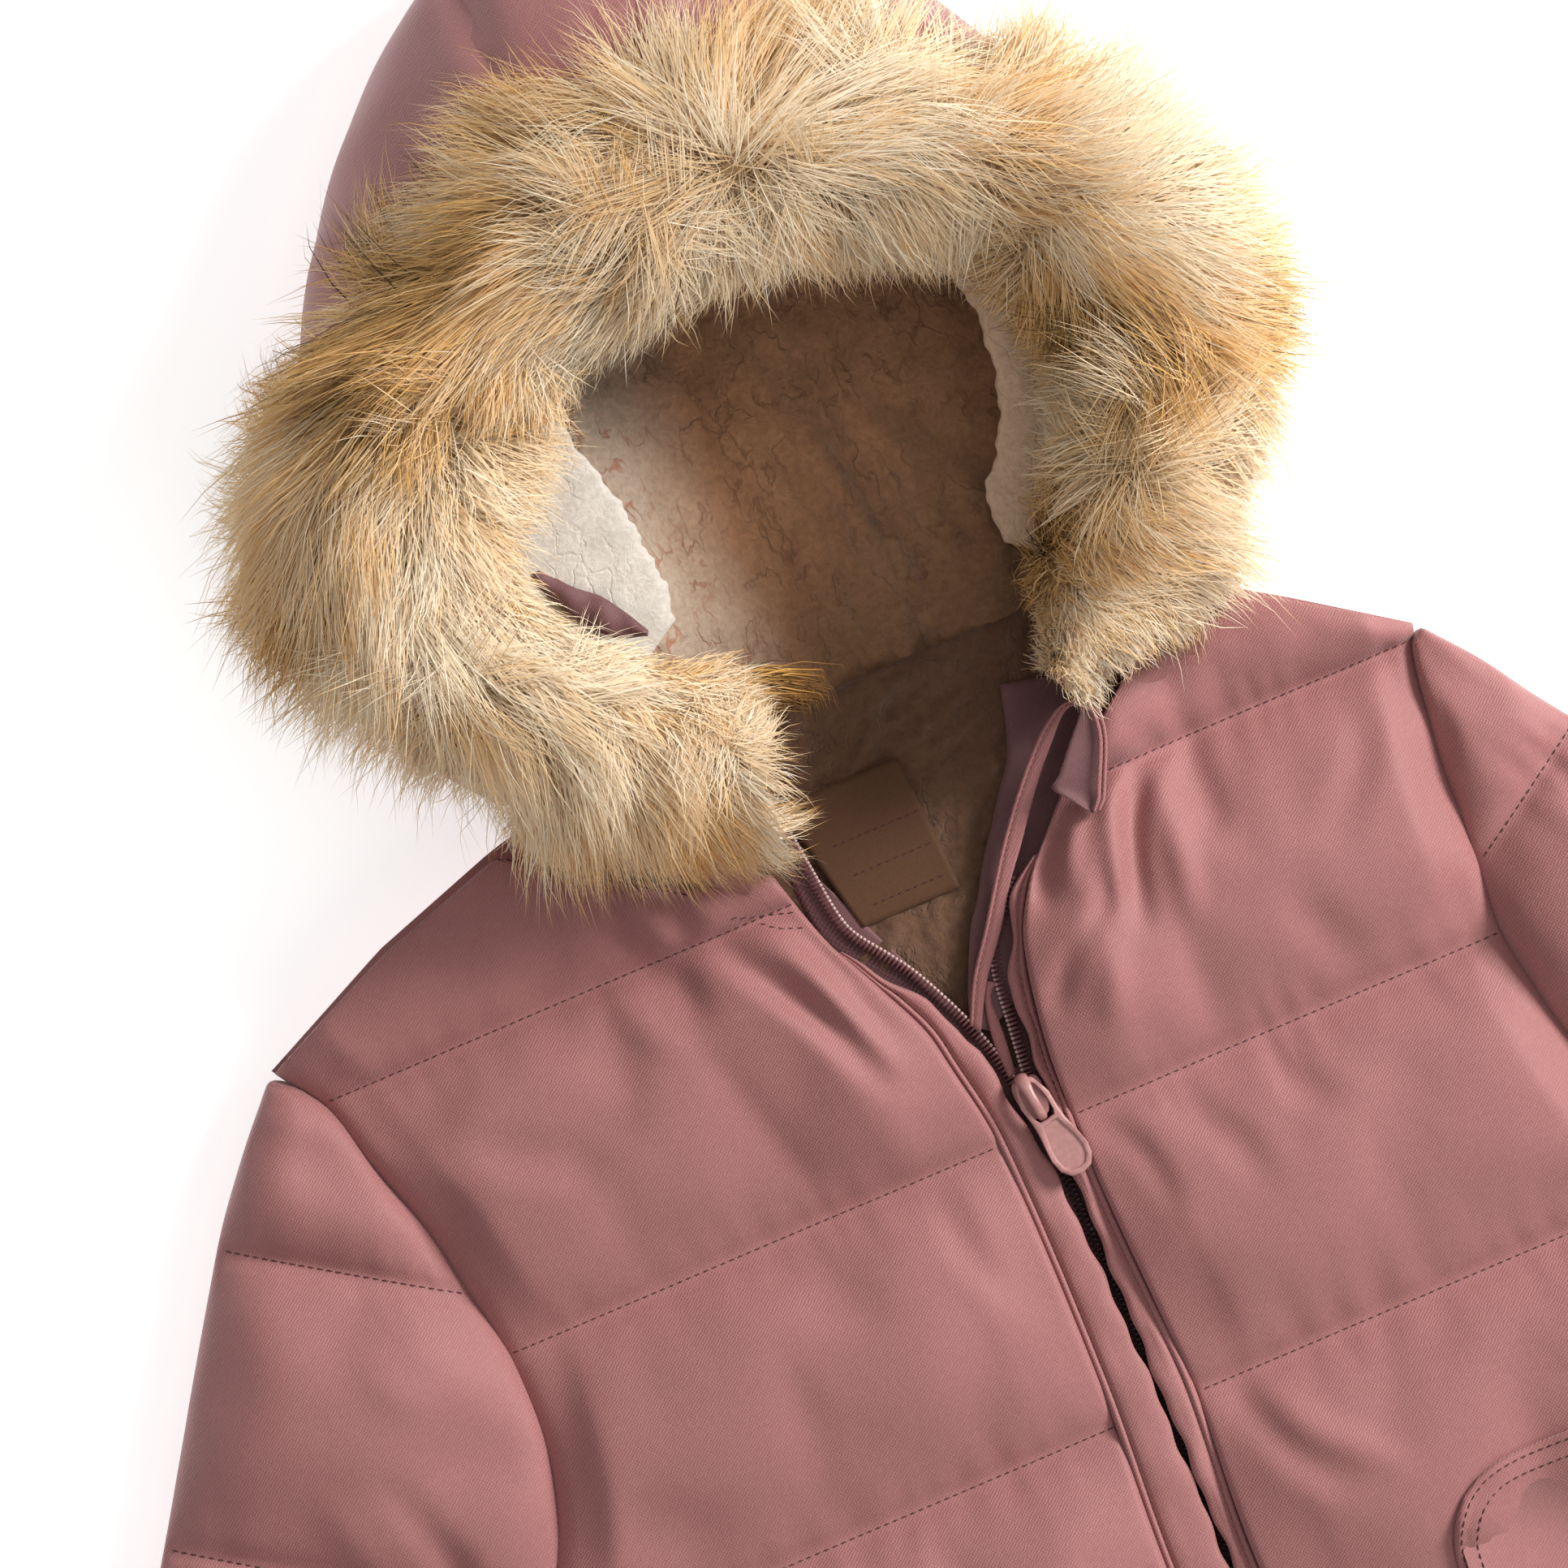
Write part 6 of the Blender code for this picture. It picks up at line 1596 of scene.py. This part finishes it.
def make_slider():
    half_w, half_l = 3.9, 5.4
    outline = [(-half_w * 0.62, -half_l), (half_w * 0.62, -half_l), (half_w * 0.8, -half_l * 0.5),
               (half_w, half_l * 0.35), (half_w * 0.8, half_l), (0.0, half_l * 0.8), (-half_w * 0.8, half_l),
               (-half_w, half_l * 0.35), (-half_w * 0.8, -half_l * 0.5)]
    move = np.array([0.5, -3.8, 0.0])
    rings = [turned([(x * s, y * s, z) for x, y in outline], SLIDER_TURN) + move
             for s, z in ((0.86, 13.4), (0.97, 13.6), (1.0, 14.1), (1.0, 15.5), (0.96, 16.1), (0.80, 16.4))]
    plate = ring_mesh("slider_plate", rings, enamel)
    arch = []
    for a in np.linspace(0, 180, 19):
        c, r = math.cos(math.radians(a)), math.sin(math.radians(a))
        y, z = c * 5.3, 15.8 + r ** 0.45 * 6.1
        wide = 1.15 + 0.55 * smoothstep(c, 0.1, 0.95)
        thick = 0.7 + 0.3 * smoothstep(c, 0.3, 0.95)
        arch.append(turned([(px * wide, y + c * pz * thick, z + r * pz * thick) for px, pz in
                            ((-1.0, -0.7), (-1.0, 0.3), (-0.62, 0.9), (0.0, 1.1), (0.62, 0.9), (1.0, 0.3),
                             (1.0, -0.7))],
                           SLIDER_TURN + 4.0) + move)
    bridge = ring_mesh("slider_bridge", arch, enamel, 1)
    bridge.parent = plate
    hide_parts("slider")
    return plate, bridge


def make_pull():
    """The painted pull: two arms, a waisted paddle and a sunk panel with a raised edge."""
    half = 4.7
    outline = [(0.0, 0.95), (1.7, 0.85), (2.4, 0.3), (2.9, -1.2), (3.55, -3.2), (3.85, -4.6), (3.6, -8.5),
               (3.7, -11.5),
               (half * 0.92, -15.5), (half, -18.8), (half * 0.9, -21.6), (half * 0.55, -23.8), (0.0, -24.5)]
    full = outline + [(-x, y) for x, y in outline[-2:0:-1]]
    import bmesh
    bm = bmesh.new()
    low, high = CROSSBAR_Z - 1.0, CROSSBAR_Z + 1.0
    panel = [(0.0, -10.6), (2.1, -10.8), (2.5, -13.0), (3.3, -16.0), (3.55, -18.8), (3.1, -21.0), (1.9, -22.6),
             (0.0, -23.0)]
    inner = panel + [(-x, y) for x, y in panel[-2:0:-1]]
    slot = [(0.0, -0.75), (1.5, -0.8), (2.0, -1.3), (2.4, -3.6), (2.55, -5.2), (2.35, -8.6), (1.9, -9.5), (0.0, -9.7)]
    hole = slot + [(-x, y) for x, y in slot[-2:0:-1]]

    def loop(points, z, grow=0.0):
        ring = []
        for x, y in points:
            middle_y = sum(p[1] for p in points) / len(points)
            d = math.hypot(x, y - middle_y) or 1.0
            p = turned([(x + x / d * grow, y + (y - middle_y) / d * grow, z)], TAB_TURN)[0]
            ring.append(bm.verts.new(Vector(p) * MM))
        return ring

    def bridge_loops(a, b):
        for i in range(len(a)):
            bm.faces.new([a[i], a[(i + 1) % len(a)], b[(i + 1) % len(b)], b[i]])

    def fill(edges_of):
        edges = []
        for ring in edges_of:
            for i in range(len(ring)):
                pair = (ring[i], ring[(i + 1) % len(ring)])
                edges.append(bm.edges.get(pair) or bm.edges.new(pair))
        bmesh.ops.triangle_fill(bm, edges=edges, use_beauty=True)

    levels = [(low, -0.45), (low + 0.15, -0.15), (low + 0.45, 0.0), (high - 0.5, 0.0), (high - 0.18, -0.12),
              (high, -0.42)]
    outer = [loop(full, z, g) for z, g in levels]
    for a, b in zip(outer, outer[1:]):
        bridge_loops(a, b)
    inside = [loop(hole, z, g) for z, g in ((low, 0.25), (low + 0.3, 0.0), (high - 0.3, 0.0), (high, 0.25))]
    for a, b in zip(inside, inside[1:]):
        bridge_loops(b, a)
    sunk = [loop(inner, high, 0.25), loop(inner, high - 0.12, 0.0), loop(inner, high - 0.5, -0.15)]
    for a, b in zip(sunk, sunk[1:]):
        bridge_loops(a, b)
    fill([outer[-1], inside[-1], sunk[0]])
    fill([sunk[-1]])
    fill([outer[0], inside[0]])
    bmesh.ops.recalc_face_normals(bm, faces=bm.faces)
    mesh = bpy.data.meshes.new("painted_pull")
    bm.to_mesh(mesh)
    bm.free()
    mesh.materials.append(enamel)
    mesh.shade_smooth()
    mesh.set_sharp_from_angle(angle=math.radians(42))
    piece = bpy.data.objects.new("painted_pull", mesh)
    bpy.context.scene.collection.objects.link(piece)
    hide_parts("pull_tab")
    return piece


# ---- pockets ----------------------------------------------------------------------------------------------
def pocket_outline(side, inset, count):
    """Points round the pocket, moved in by inset."""
    x0, x1 = POCKET_X[side]
    x0, x1, y0, y1 = x0 + inset, x1 - inset, POCKET_BASE + inset, POCKET_TOP - inset
    r = POCKET_RADIUS - inset
    points = []
    for cx, cy, a0 in ((x1 - r, y1 - r, 0), (x0 + r, y1 - r, 90), (x0 + r, y0 + r, 180), (x1 - r, y0 + r, 270)):
        points += [(cx + r * math.cos(math.radians(a0 + a)), cy + r * math.sin(math.radians(a0 + a)))
                   for a in np.linspace(0, 90, 8)]
    points.append(points[0])
    return [path_point(points, f) for f in np.linspace(0, 1, count + 1)[:-1]]


def make_pocket(side, tree):
    count = 120
    rings = []
    for inset, lift in ((0.0, 0.1), (0.0, 1.2), (0.6, 1.9), (1.6, 2.1), (2.6, 1.8), (3.6, 2.3), (6.0, 2.6),
                        (10.0, 2.8),
                        (15.0, 2.9), (19.0, 2.9)):
        ring = []
        for x, y in pocket_outline(side, inset, count):
            place, _ = laid(tree, x, y)
            ring.append((x, y, place.z + lift))
        rings.append(ring)
    rings = np.array(rings)
    middle = rings[-1].mean(axis=0)
    for f in (0.66, 0.33, 0.04):
        ring = middle + (rings[9] - middle) * f
        for p in ring:
            place, _ = laid(tree, p[0], p[1])
            p[2] = place.z + 2.9
        rings = np.concatenate([rings, ring[None]])
    rings[2:, :, 2] += 0.35 * ripple(rings[2:, :, :2], 18.0, 81)
    faces = grid_quads(len(rings), count, 0, True).tolist()
    faces += [list(range((len(rings) - 1) * count, len(rings) * count)), list(range(count))[::-1]]
    piece = mesh_piece(f"patch_pocket_{side}", rings.reshape(-1, 3), faces, cloth)
    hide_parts(f"pocket_{side}")
    return piece


# ---- assembly ---------------------------------------------------------------------------------------------
fronts = {side: make_front(side) for side in ("right", "left")}
sleeves = {side: make_sleeve(side) for side in ("right", "left")}
back = make_back()
shells = make_hood_shell()
linings = make_lining()
band = make_band()
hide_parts("hood_band")
patch = make_mauve_patch()
coat = make_undercoat()
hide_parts("fur_trim")
fur = [coat]
spans = [(-59.0, 5.0), (5.0, 65.0), (65.0, 125.0), (125.0, 180.0), (180.0, 243.0)]
for number, (first, last) in enumerate(spans):
    fur.append(grow_fur(f"fur_hairs_{number + 1}", first, last, 1030, 20, 100 + number))
fur.append(grow_tuft())
neck = make_neck_lining()
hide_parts("neck_lining")
label = make_label()
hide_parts("neck_label")
tapes = {side: make_tape(side) for side in ("right", "left")}
strips = {side: make_strip(side, top) for side, top in (("right", 44.0), ("left", 47.0))}
for side in ("right", "left"):
    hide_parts(f"zip_tape_{side}")
    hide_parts(f"edge_strip_{side}")
coils = [make_coil(side) for side in ("right", "left")]
guard = make_guard()
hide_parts("chin_guard")
facings = [make_facing(), make_inner_facing(), make_guard_tail()]
slider, bridge = make_slider()
pull = make_pull()
front_trees = {side: surface_tree(fronts[side]) for side in fronts}
pockets = {side: make_pocket(side, front_trees[side]) for side in ("right", "left")}


def sew_everything():
    pieces = []
    for side in ("right", "left"):
        tree = front_trees[side]
        runs = []
        for row in range(1, ROWS + 1):
            y = HEM_Y + row * ROW
            x0, x1 = outer_x(side, y), curve_value(FRONT_EDGE[side], y)
            hand = 1 if x1 > x0 else -1
            runs.append(stitch_run(tree, [(x0 + hand * 2, y), ((x0 + x1) / 2, y), (x1 - hand * 1.5, y)]))
        hem = [front_point(side, 0.045, t) for t in np.linspace(0.03, 0.98, 8)]
        runs.append(stitch_run(tree, hem))
        hand = -1 if side == "right" else 1
        if side == "right":
            runs.append(stitch_run(tree, [(-90.0, 96.0), (-82.4, 90.2), (-73.3, 83.0), (-63.4, 76.2), (-52.5, 69.2)]))
            runs.append(stitch_run(tree, [(-47.0, 61.2), (-42.7, 59.6), (-33.0, 56.6)]))
            runs.append(stitch_run(tree, [(-41.3, 57.6), (-37.6, 54.7), (-31.5, 52.2)]))
        pieces.append(sewing(f"front_stitches_{side}", runs, thread))
        strip_tree = surface_tree(strips[side])
        edge = []
        for y in np.linspace(HEM_Y + 4, 36 if side == "right" else 24, 40):
            outer, inner, _ = strip_line(side, y)
            edge.append((outer - hand * 1.9 * min(1.0, abs(outer - inner) / 4.6), y))
        pieces.append(sewing(f"strip_stitches_{side}", [stitch_run(strip_tree, edge, 1.8)], thread, 1.5))
        tree = surface_tree(sleeves[side])
        axis, cross = sleeve_axes(side)
        runs = []
        first, cuff = SLEEVE_ROWS[side], SLEEVE_EDGES[side][-1][0]
        rows = [*np.arange(first, cuff - 8.0, ROW), cuff - 4.0]
        for s in rows:
            c0, c1 = curve_value(SLEEVE_EDGES[side], s, 1), sleeve_inner(side, s)
            ends = [(s * axis[0] + c * cross[0], s * axis[1] + c * cross[1])
                    for c in np.linspace(c0 + 2.0, c1 - 3.0, 4)]
            runs.append(stitch_run(tree, ends))
            low = [(s * axis[0] + c * cross[0], s * axis[1] + c * cross[1])
                   for c in np.linspace(c0 + 5.0, c1 - 5.0, 4)]
            runs.append(stitch_run(tree, low, below=True))
        pieces.append(sewing(f"sleeve_stitches_{side}", runs, thread))
        tree = surface_tree(pockets[side])
        runs = [stitch_run(tree, [*pocket_outline(side, inset, 60), pocket_outline(side, inset, 60)[0]])
                for inset in (1.6, 5.2)]
        pieces.append(sewing(f"pocket_stitches_{side}", runs, thread))
    tree = surface_tree(back)
    runs = []
    for row in range(1, ROWS + 1):
        y = HEM_Y + row * ROW
        x0, x1 = outer_x("right", y), outer_x("left", y)
        runs.append(stitch_run(tree, [(x0 + 8, y), ((x0 + x1) / 2, y), (x1 - 8, y)], below=True))
    pieces.append(sewing("back_stitches", runs, thread))
    tree = surface_tree(guard)
    keys = [(i, *row) for i, row in enumerate(GUARD)]
    edge = []
    for u in np.linspace(0.2, 17.6, 90):
        x0, y0, x1, y1 = (curve_value(keys, u, c) for c in range(1, 5))
        wide = math.dist((x0, y0), (x1, y1))
        edge.append((x0 + (x1 - x0) * 1.0 / max(wide, 2.4), y0 + (y1 - y0) * 1.0 / max(wide, 2.4)))
    pieces.append(sewing("guard_stitches", [stitch_run(tree, edge, 1.5)], thread, 1.3, 0.15))
    tree = surface_tree(label)
    runs = []
    for f in (0.40, 0.64, 0.88):
        dash_y = 80 - 33 * f
        runs.append(stitch_run(tree, [(-22 + 7 * f, dash_y), (-9 + 2 * f, dash_y), (1.5 + 1.4 * f, dash_y)], 2.0))
    pieces.append(sewing("label_dashes", runs, thread, 1.3, 0.17))
    return pieces


stitches = sew_everything()

cloth_slots = [*fronts.values(), *sleeves.values(), back, *shells, patch, *strips.values(), guard, *facings,
               *pockets.values(), *stitches]
for piece in (*cloth_slots, *linings, band, neck, *fur, *tapes.values(), *coils, slider, label):
    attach(piece, "jacket")
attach(pull, "pull_tab")
